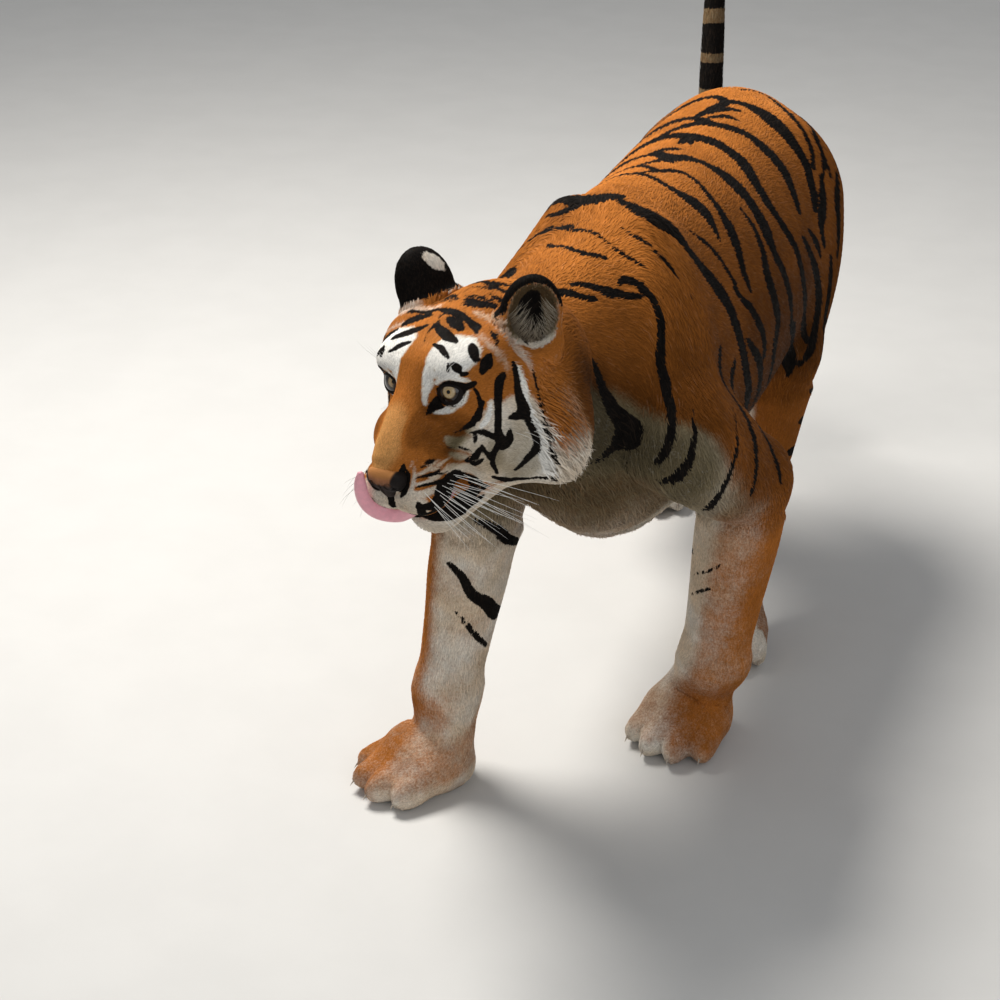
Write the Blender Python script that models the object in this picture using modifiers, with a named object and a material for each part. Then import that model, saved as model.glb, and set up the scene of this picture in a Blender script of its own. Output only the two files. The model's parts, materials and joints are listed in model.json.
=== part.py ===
"""A bengal tiger, life size, walking and turning to its right, as a still model.

The animal is built from masses (ribcage, shoulder, thigh, cheek ...) and lofted
tubes (trunk, limbs, tail, muzzle) that melt into one form, which is then parted
at the places where its parts are named.  Metres, +Z up; the animal faces -Y and
its left side is +X.  The origin is the middle of its bounding box, on the floor.
"""
import math
import bpy
import bmesh
import numpy as np
from mathutils import Matrix, Vector

SHOULDER_HEIGHT = 0.92      # floor to the withers
GAP = 0.0003                # between neighbouring pieces
VOXEL = 0.0095              # first mesh of the whole form
HEAD_FACES = 1460           # triangles kept for the head before it is parted
BODY_FACES = 2530           # and for the rest
TONGUE_WIDTH = 0.040
TONGUE_THICK = 0.007

ORANGE = (0.52, 0.19, 0.045, 1)
CREAM = (0.68, 0.60, 0.47, 1)
WHITE = (0.80, 0.77, 0.70, 1)
DARK = (0.03, 0.022, 0.018, 1)
PINK = (0.60, 0.27, 0.26, 1)
EYE = (0.42, 0.27, 0.09, 1)


# ---------------------------------------------------------------- shape tools
def rot(yaw=0.0, pitch=0.0, roll=0.0):
    """Rotation: yaw about Z (negative turns to the animal's right), pitch about X (positive lowers the nose), roll about Y."""
    return np.array(Matrix.Rotation(math.radians(yaw), 3, "Z") @ Matrix.Rotation(math.radians(pitch), 3, "X") @ Matrix.Rotation(math.radians(roll), 3, "Y"))


def spline(points, n):
    """Catmull-Rom through the rows of points (any number of columns), n samples."""
    p = np.asarray(points, float)
    if len(p) < 3:
        t = np.linspace(0, 1, n)[:, None]
        return p[0] * (1 - t) + p[-1] * t
    q = np.vstack([2 * p[0] - p[1], p, 2 * p[-1] - p[-2]])
    u = np.linspace(0, len(p) - 1 - 1e-9, n)
    i = u.astype(int)
    f = (u - i)[:, None]
    a, b, c, d = q[i], q[i + 1], q[i + 2], q[i + 3]
    return 0.5 * (2 * b + (c - a) * f + (2 * a - 5 * b + 4 * c - d) * f * f + (3 * b - a - 3 * c + d) * f ** 3)


class Frame:
    """A body part's own axes: origin and rotation."""
    def __init__(self, origin=(0, 0, 0), r=None):
        self.o = np.asarray(origin, float)
        self.r = np.eye(3) if r is None else r

    def local(self, p):
        return (p - self.o) @ self.r

    def world(self, p):
        return np.asarray(p, float) @ self.r.T + self.o

    def vec(self, v):
        return np.asarray(v, float) @ self.r.T


WORLD = Frame()


class Blob:
    """An ellipsoid mass; mirror=True gives one on each side of its frame."""
    def __init__(self, c, r, tilt=None, k=0.02, mirror=False, frame=WORLD, flow=(0, 1, 0), sub=False, tag="body"):
        self.c, self.rad = np.asarray(c, float), np.asarray(r, float)
        self.tilt = np.eye(3) if tilt is None else tilt
        self.k, self.mirror, self.frame, self.flow, self.sub, self.tag = k, mirror, frame, np.asarray(flow, float), sub, tag

    def box(self):
        reach = np.abs(self.tilt) @ self.rad
        return self.c - reach, self.c + reach

    def dist(self, q):
        v = (q - self.c) @ self.tilt
        k0 = np.linalg.norm(v / self.rad, axis=1)
        k1 = np.linalg.norm(v / self.rad ** 2, axis=1)
        return np.where(k1 < 1e-6, -self.rad.min(), k0 * (k0 - 1) / np.maximum(k1, 1e-6))

    def flow_at(self, q):
        return np.broadcast_to(self.flow, q.shape)

    def seed(self, bm, shrink=0.0):
        for s in (1, -1) if self.mirror else (1,):
            m = np.eye(4)
            m[:3, :3] = self.tilt @ np.diag(np.maximum(self.rad - shrink, 0.001))
            m[:3, 3] = self.c
            w = np.eye(4)
            w[:3, :3] = self.frame.r @ np.diag([s, 1, 1])
            w[:3, 3] = self.frame.o
            made = bmesh.ops.create_uvsphere(bm, u_segments=16, v_segments=10, radius=1.0, matrix=Matrix((w @ m).tolist()))
            if s < 0:
                bmesh.ops.reverse_faces(bm, faces=list({f for v in made["verts"] for f in v.link_faces}))


class Tube:
    """A tube with an egg-shaped section: rows of (x, y, z, half width, height above, depth below)."""
    def __init__(self, rows, k=0.02, mirror=False, frame=WORLD, up=(0, 0, 1), egg=0.0, n=28, cap=1.0, sub=False, tag="body", sides=24, flowsign=1.0, rolls=None):
        rows = [tuple(r) if len(r) == 6 else (*r[:4], r[3], r[3]) for r in rows]
        s = spline(rows, n)
        self.p, self.a, self.bt, self.bb = s[:, :3], np.abs(s[:, 3]), np.abs(s[:, 4]), np.abs(s[:, 5])
        t = np.gradient(self.p, axis=0)
        self.t = t / np.linalg.norm(t, axis=1, keepdims=True)
        ups = np.broadcast_to(np.asarray(up, float), self.t.shape)
        if rolls is not None:
            r = np.radians(spline([(v,) for v in rolls], n)[:, 0])
            ups = np.stack([np.sin(r), 0 * r, np.cos(r)], 1)
        side = np.cross(self.t, ups)
        self.x = side / np.linalg.norm(side, axis=1, keepdims=True)
        self.u = np.cross(self.x, self.t)
        self.k, self.mirror, self.frame, self.egg, self.cap, self.sub, self.tag, self.sides = k, mirror, frame, egg, cap, sub, tag, sides
        self.flowsign = flowsign
        seg = np.linalg.norm(np.diff(self.p, axis=0), axis=1)
        self.arc = np.concatenate([[0], np.cumsum(seg)])

    def box(self):
        m = np.maximum(self.a, np.maximum(self.bt, self.bb))[:, None]
        return (self.p - m).min(0), (self.p + m).max(0)

    def nearest(self, q):
        a, d = self.p[:-1], np.diff(self.p, axis=0)
        best = np.full(len(q), 1e9)
        idx = np.zeros(len(q), int)
        fr = np.zeros(len(q))
        dd = (d * d).sum(1)
        for i in range(len(a)):
            v = q - a[i]
            t = np.clip(v @ d[i] / dd[i], 0, 1)
            e = v - t[:, None] * d[i]
            e2 = (e * e).sum(1)
            m = e2 < best
            best[m], idx[m], fr[m] = e2[m], i, t[m]
        return idx, fr

    def at(self, idx, fr, arr):
        if arr.ndim == 1:
            return arr[idx] * (1 - fr) + arr[idx + 1] * fr
        return arr[idx] * (1 - fr[:, None]) + arr[idx + 1] * fr[:, None]

    def coords(self, q):
        idx, fr = self.nearest(q)
        c = self.at(idx, fr, self.p)
        x, u, t = (self.at(idx, fr, m) for m in (self.x, self.u, self.t))
        v = q - c
        return (v * x).sum(1), (v * u).sum(1), (v * t).sum(1), idx, fr

    def dist(self, q):
        px, pu, pt, idx, fr = self.coords(q)
        a, bt, bb = (self.at(idx, fr, m) for m in (self.a, self.bt, self.bb))
        b = np.where(pu > 0, bt, bb)
        a = a * (1 - self.egg * np.clip(pu / b, -1, 1))
        inside = ((idx > 0) | (fr > 1e-6)) & ((idx < len(self.p) - 2) | (fr < 1 - 1e-6))
        pt = np.where(inside, 0.0, pt)
        c = self.cap * np.minimum(a, b)
        k0 = np.sqrt((px / a) ** 2 + (pu / b) ** 2 + (pt / c) ** 2)
        k1 = np.sqrt((px / a ** 2) ** 2 + (pu / b ** 2) ** 2 + (pt / c ** 2) ** 2)
        return np.where(k1 < 1e-6, -np.minimum(a, b), k0 * (k0 - 1) / np.maximum(k1, 1e-6))

    def flow_at(self, q):
        idx, fr = self.nearest(q)
        return self.flowsign * self.at(idx, fr, self.t)

    def seed(self, bm, shrink=0.0):
        n = self.sides
        ang = 2 * np.pi * np.arange(n) / n
        for s in (1, -1) if self.mirror else (1,):
            rings = []
            rows = [(0, 0.35, -0.93)] + [(i, 1.0, 0.0) for i in range(len(self.p))] + [(len(self.p) - 1, 0.35, 0.93)]
            for i, f, off in rows:
                a, bt, bb = (max(v[i] - shrink, 0.001) for v in (self.a, self.bt, self.bb))
                c = self.cap * min(a, bt, bb)
                su = np.sin(ang)
                b = np.where(su > 0, bt, bb)
                ring = self.p[i] + f * (np.cos(ang) * a * (1 - self.egg * su))[:, None] * self.x[i] + f * (su * b)[:, None] * self.u[i] + off * c * self.t[i]
                ring = ring * np.array([s, 1, 1])
                rings.append([bm.verts.new(v) for v in self.frame.world(ring)])
            faces = [bm.faces.new((r0[j], r1[j], r1[(j + 1) % n], r0[(j + 1) % n])) for r0, r1 in zip(rings, rings[1:]) for j in range(n)]
            faces += [bm.faces.new(rings[0]), bm.faces.new(rings[-1][::-1])]
            if s < 0:
                bmesh.ops.reverse_faces(bm, faces=faces)


def smooth_min(a, b, k):
    h = np.clip(0.5 + 0.5 * (b - a) / k, 0, 1)
    return b * (1 - h) + a * h - k * h * (1 - h)


def local_of(part, p):
    q = part.frame.local(p)
    if part.mirror:
        q = q.copy()
        q[:, 0] = np.abs(q[:, 0])
    return q


def near_box(part, q, margin):
    lo, hi = part.box()
    return np.all((q > lo - margin) & (q < hi + margin), axis=1)


def field(p, parts, margin=0.09):
    """Distance to the smooth union of the parts, in their order; parts with sub=True are cut away."""
    d = np.full(len(p), margin)
    for part in parts:
        q = local_of(part, p)
        m = near_box(part, q, margin)
        if not m.any():
            continue
        e = part.dist(q[m])
        if part.sub:
            d[m] = -smooth_min(-d[m], e, part.k)
        else:
            d[m] = smooth_min(d[m], e, part.k)
    return d


def gradient(p, parts, h=0.0006):
    g = np.empty_like(p)
    for i in range(3):
        e = np.zeros(3)
        e[i] = h
        g[:, i] = field(p + e, parts) - field(p - e, parts)
    return g / np.maximum(np.linalg.norm(g, axis=1, keepdims=True), 1e-12)


def project(p, parts, steps=4, offset=0.0, most=0.02):
    """Moves points onto the field's surface, along its gradient."""
    p = p.copy()
    for _ in range(steps):
        d = field(p, parts) - offset
        p -= gradient(p, parts) * np.clip(d, -most, most)[:, None]
    return p


def coords_of(mesh):
    c = np.empty(len(mesh.vertices) * 3, np.float32)
    mesh.vertices.foreach_get("co", c)
    return c.reshape(-1, 3).astype(float)


def set_coords(mesh, c):
    mesh.vertices.foreach_set("co", np.asarray(c, np.float32).ravel())
    mesh.update()


def applied(obj):
    """Replaces the object's mesh with what its modifiers make of it."""
    bpy.context.view_layer.update()
    dg = bpy.context.evaluated_depsgraph_get()
    mesh = bpy.data.meshes.new_from_object(obj.evaluated_get(dg))
    old = obj.data
    obj.modifiers.clear()
    obj.data = mesh
    bpy.data.meshes.remove(old)
    return obj


def seed_object(parts, name, collection, voxel, shrink=0.0):
    bm = bmesh.new()
    for part in parts:
        if not part.sub:
            part.seed(bm, shrink)
    bmesh.ops.triangulate(bm, faces=bm.faces)
    mesh = bpy.data.meshes.new(name)
    bm.to_mesh(mesh)
    bm.free()
    obj = bpy.data.objects.new(name, mesh)
    collection.objects.link(obj)
    r = obj.modifiers.new("Remesh", "REMESH")
    r.mode, r.voxel_size, r.adaptivity = "VOXEL", voxel, 0.0
    return applied(obj)


# ------------------------------------------------------------- tiger's masses
HEAD = Frame((-0.079, -0.387, 0.806), rot(-23.0, 15.8, -7.6))
EYE_C = (0.0455, -0.0925, 0.0375)
EYE_R = 0.0185
EAR_SWING = {1: 52, -1: 112}      # the left ear faces forward and out, the right one out and back


def ear_parts(f, side, swing):
    """The cup opens towards -Y of its own frame; swing turns it outwards."""
    up = rot(0, -10, side * 12) @ rot(side * swing)
    base = np.array((side * 0.086, 0.030 - (0.012 if side > 0 else 0.0), 0.058 - (0.010 if side > 0 else 0.0)))
    ef = Frame(f.world(base), f.r @ up)
    return [
        Blob((0, 0.004, 0.032), (0.041, 0.024, 0.054), k=0.014, frame=ef, tag="ear", flow=(0, 0.1, 1)),
        Blob((0, 0.004, -0.006), (0.038, 0.028, 0.030), k=0.018, frame=ef, tag="ear", flow=(0, 0.1, 1)),
        Blob((0, -0.046, 0.040), (0.036, 0.056, 0.046), k=0.006, frame=ef, sub=True, tag="earin", flow=(0, 0.1, 1)),
    ]


def head_parts(f=HEAD, s=1.0):
    def B(c, r, **kw):
        kw.setdefault("tag", "head")
        return Blob(np.array(c) * s, np.array(r) * s, frame=f, **kw)
    def T(rows, **kw):
        return Tube([tuple(np.array(r, float) * s) for r in rows], frame=f, tag="head", **kw)
    parts = [
        B((0, 0.015, 0.018), (0.095, 0.108, 0.086), k=0.03, flow=(0, 1, 0)),
        B((0, 0.060, -0.030), (0.105, 0.100, 0.105), k=0.04, flow=(0, 1, -0.2)),
        B((0.062, -0.030, 0.030), (0.042, 0.060, 0.050), k=0.03, mirror=True, flow=(0.25, 0.95, 0)),
        B((0.060, -0.040, -0.028), (0.046, 0.072, 0.056), k=0.03, mirror=True, flow=(0.25, 0.95, 0)),
        B((0, -0.042, 0.046), (0.066, 0.064, 0.044), k=0.03),
        B((0.078, -0.010, 0.042), (0.034, 0.056, 0.046), k=0.03, mirror=True, flow=(0.35, 0.9, 0.1)),
        B((0.046, -0.076, 0.062), (0.034, 0.034, 0.024), k=0.022, mirror=True, flow=(0.3, 0.9, 0.3)),
        B((0.039, -0.116, -0.012), (0.038, 0.056, 0.038), k=0.025, mirror=True, flow=(0.3, 0.9, -0.1)),
        T([(0, -0.085, 0.044, 0.038, 0.036, 0.04), (0, -0.130, 0.022, 0.033, 0.029, 0.04), (0, -0.170, -0.002, 0.030, 0.026, 0.03), (0, -0.196, -0.018, 0.027, 0.020, 0.02)], k=0.025, flowsign=-1.0),
        T([(0, -0.080, -0.030, 0.062, 0.05, 0.055), (0, -0.140, -0.044, 0.055, 0.036, 0.044), (0, -0.178, -0.054, 0.048, 0.030, 0.034)], k=0.022, flowsign=-1.0),
        B((0.032, -0.174, -0.056), (0.032, 0.038, 0.032), k=0.014, mirror=True, flow=(0.5, 0.86, -0.1)),
        B((0, -0.203, -0.028), (0.027, 0.014, 0.019), k=0.010),
        T([(0, -0.01, -0.085, 0.078, 0.05, 0.055), (0, -0.08, -0.106, 0.058, 0.036, 0.038), (0, -0.125, -0.114, 0.044, 0.028, 0.028), (0, -0.150, -0.115, 0.037, 0.026, 0.026)], k=0.016, flowsign=-1.0),
        B((0.062, -0.058, -0.066), (0.040, 0.062, 0.046), k=0.03, mirror=True, flow=(0.35, 0.9, -0.2)),
        B((0.086, 0.008, -0.080), (0.052, 0.066, 0.080), k=0.04, mirror=True, flow=(0.45, 0.7, -0.55)),
        # eye hollows
        B((0.051, -0.118, 0.037), (0.026, 0.017, 0.015), k=0.014, mirror=True, sub=True),
    ]
    return parts + ear_parts(f, 1, EAR_SWING[1]) + ear_parts(f, -1, EAR_SWING[-1])


def tongue_part(grow=0.0):
    """Lofted strip in the head's axes: x, y, z, half width, half thickness."""
    w, h = TONGUE_WIDTH / 2, TONGUE_THICK / 2 + grow
    rows = [(0.012, -0.130, -0.090, 0.8), (0.004, -0.160, -0.089, 1.0), (-0.006, -0.190, -0.090, 1.0), (-0.018, -0.2125, -0.082, 0.95), (-0.030, -0.2205, -0.064, 0.85), (-0.038, -0.2200, -0.044, 0.70), (-0.041, -0.2150, -0.028, 0.45)]
    return Tube([(x, y, z, w * k + grow, h, h) for x, y, z, k in rows], frame=HEAD, up=(0, 1, 1), n=14, sides=12, tag="tongue")


TRUNK_ROWS = [
    # x, y, z, half width, up, down
    (-0.075, -0.340, 0.755, 0.100, 0.120, 0.115),
    (-0.068, -0.260, 0.735, 0.115, 0.138, 0.137),
    (-0.045, -0.150, 0.715, 0.132, 0.164, 0.170),
    (-0.015, 0.000, 0.668, 0.160, 0.235, 0.262),
    (-0.005, 0.150, 0.650, 0.175, 0.243, 0.258),
    (0.008, 0.300, 0.645, 0.188, 0.232, 0.241),
    (0.015, 0.450, 0.645, 0.195, 0.225, 0.224),
    (0.025, 0.600, 0.655, 0.193, 0.218, 0.204),
    (0.030, 0.740, 0.675, 0.184, 0.197, 0.180),
    (0.024, 0.860, 0.690, 0.162, 0.168, 0.150),
    (0.010, 0.940, 0.700, 0.108, 0.114, 0.095),
]
TRUNK_ROLLS = [0, 0, 0, -2, -5, -7, -8, -8, -8, -6, -4]


def lerp(a, b, t):
    return tuple(np.array(a) * (1 - t) + np.array(b) * t)


def foreleg(side, top, shoulder, elbow, wrist, paw, yaw, w=1.0, ps=1.15):
    """side +1 is the animal's left."""
    f = Frame((paw[0], paw[1], -0.0025), rot(yaw))
    parts = [
        # shoulder blade, upper arm, forearm
        Tube([(*top, 0.030, 0.05, 0.05), (*lerp(top, shoulder, 0.5), 0.050, 0.100, 0.090), (*shoulder, 0.066, 0.085, 0.085)], k=0.05, up=(0, -1, 0), tag="fore"),
        Tube([(*shoulder, 0.070, 0.085, 0.085), (*lerp(shoulder, elbow, 0.55), 0.074, 0.095, 0.110), (*elbow, 0.066, 0.072, 0.080)], k=0.05, up=(0, -1, 0), tag="fore"),
        Tube([(*elbow, 0.070 * w, 0.075, 0.080), (*lerp(elbow, wrist, 0.30), 0.070 * w, 0.070, 0.068), (*lerp(elbow, wrist, 0.65), 0.062 * w, 0.058, 0.056), (*wrist, 0.056 * w, 0.052, 0.054)], k=0.03, up=(0, -1, 0), tag="fore"),
        Tube([(*wrist, 0.055 * w, 0.050, 0.052), (*f.world((0, 0.022, 0.070)), 0.056 * w, 0.048, 0.046), (*f.world((0, -0.012, 0.050)), 0.062 * w, 0.040, 0.040)], k=0.03, up=(0, -1, 0.3), tag="fore"),
    ]
    return parts + paw_parts(f, side, ps)


def paw_parts(f, side, s):
    out = [Blob((0, -0.018 * s, 0.040), (0.063 * s, 0.056 * s, 0.038 * s), k=0.02, frame=f, tag="paw", flow=(0, -1, -0.2)),
           Blob((0, 0.026 * s, 0.024), (0.042 * s, 0.036 * s, 0.028), k=0.02, frame=f, tag="paw", flow=(0, -1, -0.5))]
    for x, y, r in ((0.0175, -0.074, 1.0), (-0.0175, -0.074, 1.0), (0.050, -0.054, 0.94), (-0.050, -0.054, 0.94)):
        out.append(Blob((x * s, y * s, 0.0265), (0.0190 * r * s, 0.034 * r * s, 0.029 * r), tilt=rot(x * 200), k=0.010, frame=f, tag="paw", flow=(0, -1, -0.3)))
    return out


def hindleg(side, hip, knee, hock, paw, yaw):
    f = Frame((paw[0], paw[1], -0.0025), rot(yaw))
    high = (hip[0] - side * 0.02, hip[1] - 0.02, hip[2] + 0.02)
    parts = [
        Tube([(*high, 0.070, 0.12, 0.10), (*lerp(hip, knee, 0.45), 0.082, 0.120, 0.122), (*knee, 0.068, 0.080, 0.088)], k=0.06, up=(0, -1, 0), tag="hind"),
        Tube([(*lerp(hip, knee, 0.1), 0.07, 0.09, 0.10), (*lerp(lerp(hip, knee, 0.6), hock, 0.35), 0.060, 0.065, 0.090), (*lerp(knee, hock, 0.75), 0.046, 0.046, 0.060)], k=0.05, up=(0, -1, 0), tag="hind"),
        Tube([(*knee, 0.068, 0.076, 0.082), (*lerp(knee, hock, 0.4), 0.061, 0.067, 0.076), (*lerp(knee, hock, 0.8), 0.047, 0.050, 0.060), (*hock, 0.045, 0.045, 0.052)], k=0.03, up=(0, -1, 0), tag="hind"),
        Tube([(*hock, 0.045, 0.048, 0.046), (*lerp(hock, f.world((0, 0.0, 0.045)), 0.5), 0.044, 0.045, 0.043), (*f.world((0, 0.0, 0.045)), 0.052, 0.042, 0.040)], k=0.025, up=(0, -1, 0.3), tag="hind"),
    ]
    return parts + paw_parts(f, side, 1.05)


TAIL_ROWS = [
    (0.000, 0.890, 0.765, 0.055), (-0.030, 0.975, 0.745, 0.047), (-0.060, 1.055, 0.660, 0.040), (-0.080, 1.125, 0.560, 0.036),
    (-0.096, 1.210, 0.490, 0.034), (-0.106, 1.295, 0.505, 0.032), (-0.112, 1.345, 0.590, 0.031), (-0.117, 1.370, 0.720, 0.030), (-0.120, 1.390, 0.860, 0.027), (-0.122, 1.405, 0.960, 0.018)]

FL = dict(top=(0.045, 0.050, 0.840), shoulder=(0.130, -0.130, 0.620), elbow=(0.192, 0.080, 0.475), wrist=(0.150, 0.110, 0.150), paw=(0.115, 0.125), yaw=-16)
FR = dict(top=(-0.090, 0.080, 0.850), shoulder=(-0.190, -0.150, 0.620), elbow=(-0.178, -0.060, 0.440), wrist=(-0.222, -0.085, 0.150), paw=(-0.242, -0.115), yaw=-46, w=0.95)
HL = dict(hip=(0.140, 0.800, 0.715), knee=(0.165, 0.560, 0.490), hock=(0.135, 0.590, 0.235), paw=(0.125, 0.420), yaw=4)
HR = dict(hip=(-0.085, 0.800, 0.690), knee=(-0.125, 0.760, 0.430), hock=(-0.105, 1.020, 0.270), paw=(-0.115, 0.960), yaw=0)


def all_parts():
    parts = [Tube(TRUNK_ROWS, k=0.04, egg=0.12, n=60, sides=36, tag="trunk", rolls=TRUNK_ROLLS)]
    parts += foreleg(1, **FL) + foreleg(-1, **FR)
    parts += hindleg(1, **HL) + hindleg(-1, **HR)
    parts += [Tube(TAIL_ROWS, k=0.03, n=60, tag="tail", up=(1, 0, 0))]
    parts += head_parts()
    return parts


# --------------------------------------------------------------------- parting
def clear():
    for obj in list(bpy.data.objects):
        bpy.data.objects.remove(obj, do_unlink=True)
    for col in list(bpy.data.collections):
        bpy.data.collections.remove(col)


def material(name, colour, roughness):
    m = bpy.data.materials.new(name)
    m.use_nodes = True
    b = m.node_tree.nodes["Principled BSDF"]
    b.inputs["Base Color"].default_value = colour
    b.inputs["Roughness"].default_value = roughness
    b.inputs["Metallic"].default_value = 0.0
    return m


def mesh_object(name, bm, collection):
    mesh = bpy.data.meshes.new(name)
    bm.to_mesh(mesh)
    bm.free()
    obj = bpy.data.objects.new(name, mesh)
    collection.objects.link(obj)
    return obj


def box(lo, hi, frame, inset=0.0):
    """A block between two corners, in a frame's axes."""
    lo, hi = np.asarray(lo, float) + inset, np.asarray(hi, float) - inset
    bm = bmesh.new()
    m = np.eye(4)
    m[:3, :3] = frame.r @ np.diag(hi - lo)
    m[:3, 3] = frame.world((lo + hi) / 2)
    bmesh.ops.create_cube(bm, size=1.0, matrix=Matrix(m.tolist()))
    return mesh_object("cutter", bm, CUTTERS)


def prism(outline, x0, x1, inset=0.0):
    """A side-view outline (y, z), anticlockwise seen from +X, run from x0 to x1 in X."""
    p = np.asarray(outline, float)
    d = np.roll(p, -1, 0) - p
    d /= np.linalg.norm(d, axis=1, keepdims=True)
    n = np.stack([-d[:, 1], d[:, 0]], 1)
    q = []
    for i in range(len(p)):
        a, b = n[i - 1], n[i]
        q.append(p[i] + inset * (a + b) / (1 + a @ b))
    bm = bmesh.new()
    lo, hi = min(x0, x1) + inset, max(x0, x1) - inset
    one = [bm.verts.new((lo, y, z)) for y, z in q]
    two = [bm.verts.new((hi, y, z)) for y, z in q]
    k = len(q)
    bm.faces.new(one[::-1])
    bm.faces.new(two)
    for i in range(k):
        bm.faces.new((one[i], one[(i + 1) % k], two[(i + 1) % k], two[i]))
    return mesh_object("cutter", bm, CUTTERS)


def boolean(obj, cutter, operation):
    mod = obj.modifiers.new("Cut", "BOOLEAN")
    mod.operation, mod.solver, mod.object = operation, "EXACT", cutter
    applied(obj)


def tidy(obj):
    """Triangles only, with the specks that a cut leaves merged away."""
    bm = bmesh.new()
    bm.from_mesh(obj.data)
    bmesh.ops.remove_doubles(bm, verts=bm.verts, dist=0.00002)
    bmesh.ops.dissolve_degenerate(bm, edges=bm.edges, dist=0.00002)
    bmesh.ops.triangulate(bm, faces=bm.faces)
    # a scrap cut off from the main body is dropped
    seen, bodies = set(), []
    for v in bm.verts:
        if v in seen:
            continue
        stack, group = [v], []
        seen.add(v)
        while stack:
            w = stack.pop()
            group.append(w)
            for e in w.link_edges:
                u = e.other_vert(w)
                if u not in seen:
                    seen.add(u)
                    stack.append(u)
        bodies.append(group)
    bodies.sort(key=len, reverse=True)
    for group in bodies[1:]:
        bmesh.ops.delete(bm, geom=group, context="VERTS")
    bm.to_mesh(obj.data)
    bm.free()


def part_off(whole, name, make):
    """Takes the piece inside a cutter off the whole, with the gap between them."""
    piece = whole.copy()
    piece.data = whole.data.copy()
    piece.name = piece.data.name = name
    PARTS.objects.link(piece)
    small, full = make(GAP / 2), make(-GAP / 2)
    boolean(piece, small, "INTERSECT")
    boolean(whole, full, "DIFFERENCE")
    for c in (small, full):
        bpy.data.objects.remove(c, do_unlink=True)
    tidy(piece)
    return piece


def hollow(obj, cutter_parts, grow):
    """Makes room in a piece for one that sits in it."""
    bm = bmesh.new()
    for p in cutter_parts:
        p.seed(bm, -grow)
    c = mesh_object("cutter", bm, CUTTERS)
    boolean(obj, c, "DIFFERENCE")
    bpy.data.objects.remove(c, do_unlink=True)


def ball(name, centre, radius, frame, segments=14, rings=8):
    bm = bmesh.new()
    m = np.eye(4)
    m[:3, :3] = frame.r
    m[:3, 3] = frame.world(centre)
    bmesh.ops.create_uvsphere(bm, u_segments=segments, v_segments=rings, radius=radius, matrix=Matrix(m.tolist()))
    return mesh_object(name, bm, PARTS)


# ------------------------------------------------------------------ the animal
clear()
PARTS = bpy.data.collections.new("Bengal tiger")
CUTTERS = bpy.data.collections.new("Cutters")
for c in (PARTS, CUTTERS):
    bpy.context.scene.collection.children.link(c)

masses = all_parts()
ear_masses = {s: ear_parts(HEAD, s, EAR_SWING[s]) for s in (1, -1)}
flesh = [p for p in masses if p.tag not in ("ear", "earin")]

whole = seed_object(flesh, "trunk", PARTS, VOXEL)
set_coords(whole.data, project(coords_of(whole.data), flesh, 4))

def triangles(obj):
    return sum(len(p.vertices) - 2 for p in obj.data.polygons)


def fewer(obj, faces):
    while triangles(obj) > faces * 1.02:
        d = obj.modifiers.new("Fewer", "DECIMATE")
        d.ratio = faces / triangles(obj)
        applied(obj)
        tidy(obj)


# the head keeps smaller triangles than the body, so each is thinned on its own
def head_block(g):
    return box((-0.25, -0.35, -0.32), (0.25, 0.088, 0.30), HEAD, g)


head = part_off(whole, "head", lambda g: head_block(-0.012 if g > 0 else 0.012))
fewer(head, HEAD_FACES)
fewer(whole, BODY_FACES)
for obj, g, operation in ((head, GAP / 2, "INTERSECT"), (whole, -GAP / 2, "DIFFERENCE")):
    c = head_block(g)
    boolean(obj, c, operation)
    bpy.data.objects.remove(c, do_unlink=True)
    tidy(obj)

# soles: one level
floor = box((-2, -2, -0.5), (2, 2, 0.0), WORLD)
boolean(whole, floor, "DIFFERENCE")
bpy.data.objects.remove(floor, do_unlink=True)

pieces = {"head": head}
pieces["tail_1"] = part_off(whole, "tail_1", lambda g: box((-0.35, 0.990, 0.43), (0.25, 1.60, 1.10), WORLD, g))
pieces["tail_2"] = part_off(pieces["tail_1"], "tail_2", lambda g: box((-0.35, 1.165, 0.40), (0.25, 1.60, 1.10), WORLD, g))
pieces["tail_3"] = part_off(pieces["tail_2"], "tail_3", lambda g: box((-0.35, 1.165, 0.68), (0.25, 1.60, 1.10), WORLD, g))


# forelegs: shoulder with upper arm, forearm, paw
FORE_L = [(-0.02, 0.405), (0.18, 0.405), (0.175, 0.56), (0.10, 0.72), (0.02, 0.78), (-0.14, 0.74), (-0.235, 0.66), (-0.225, 0.56), (-0.12, 0.47)]
FORE_R = [(-0.15, 0.395), (0.05, 0.395), (0.07, 0.53), (0.07, 0.70), (0.00, 0.78), (-0.14, 0.75), (-0.235, 0.67), (-0.25, 0.57), (-0.20, 0.47)]
pieces["foreleg_left_upper"] = part_off(whole, "foreleg_left_upper", lambda g: prism(FORE_L, 0.108, 0.45, g))
pieces["foreleg_right_upper"] = part_off(whole, "foreleg_right_upper", lambda g: prism(FORE_R, -0.112, -0.45, g))
pieces["foreleg_left_forearm"] = part_off(whole, "foreleg_left_forearm", lambda g: box((0.04, -0.10, -0.10), (0.45, 0.26, 0.405), WORLD, g))
pieces["foreleg_right_forearm"] = part_off(whole, "foreleg_right_forearm", lambda g: box((-0.45, -0.32, -0.10), (-0.075, 0.10, 0.395), WORLD, g))
pieces["foreleg_left_paw"] = part_off(pieces["foreleg_left_forearm"], "foreleg_left_paw", lambda g: box((0.0, -0.12, -0.10), (0.45, 0.30, 0.118), WORLD, g))
pieces["foreleg_right_paw"] = part_off(pieces["foreleg_right_forearm"], "foreleg_right_paw", lambda g: box((-0.45, -0.34, -0.10), (-0.05, 0.12, 0.118), WORLD, g))

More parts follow.
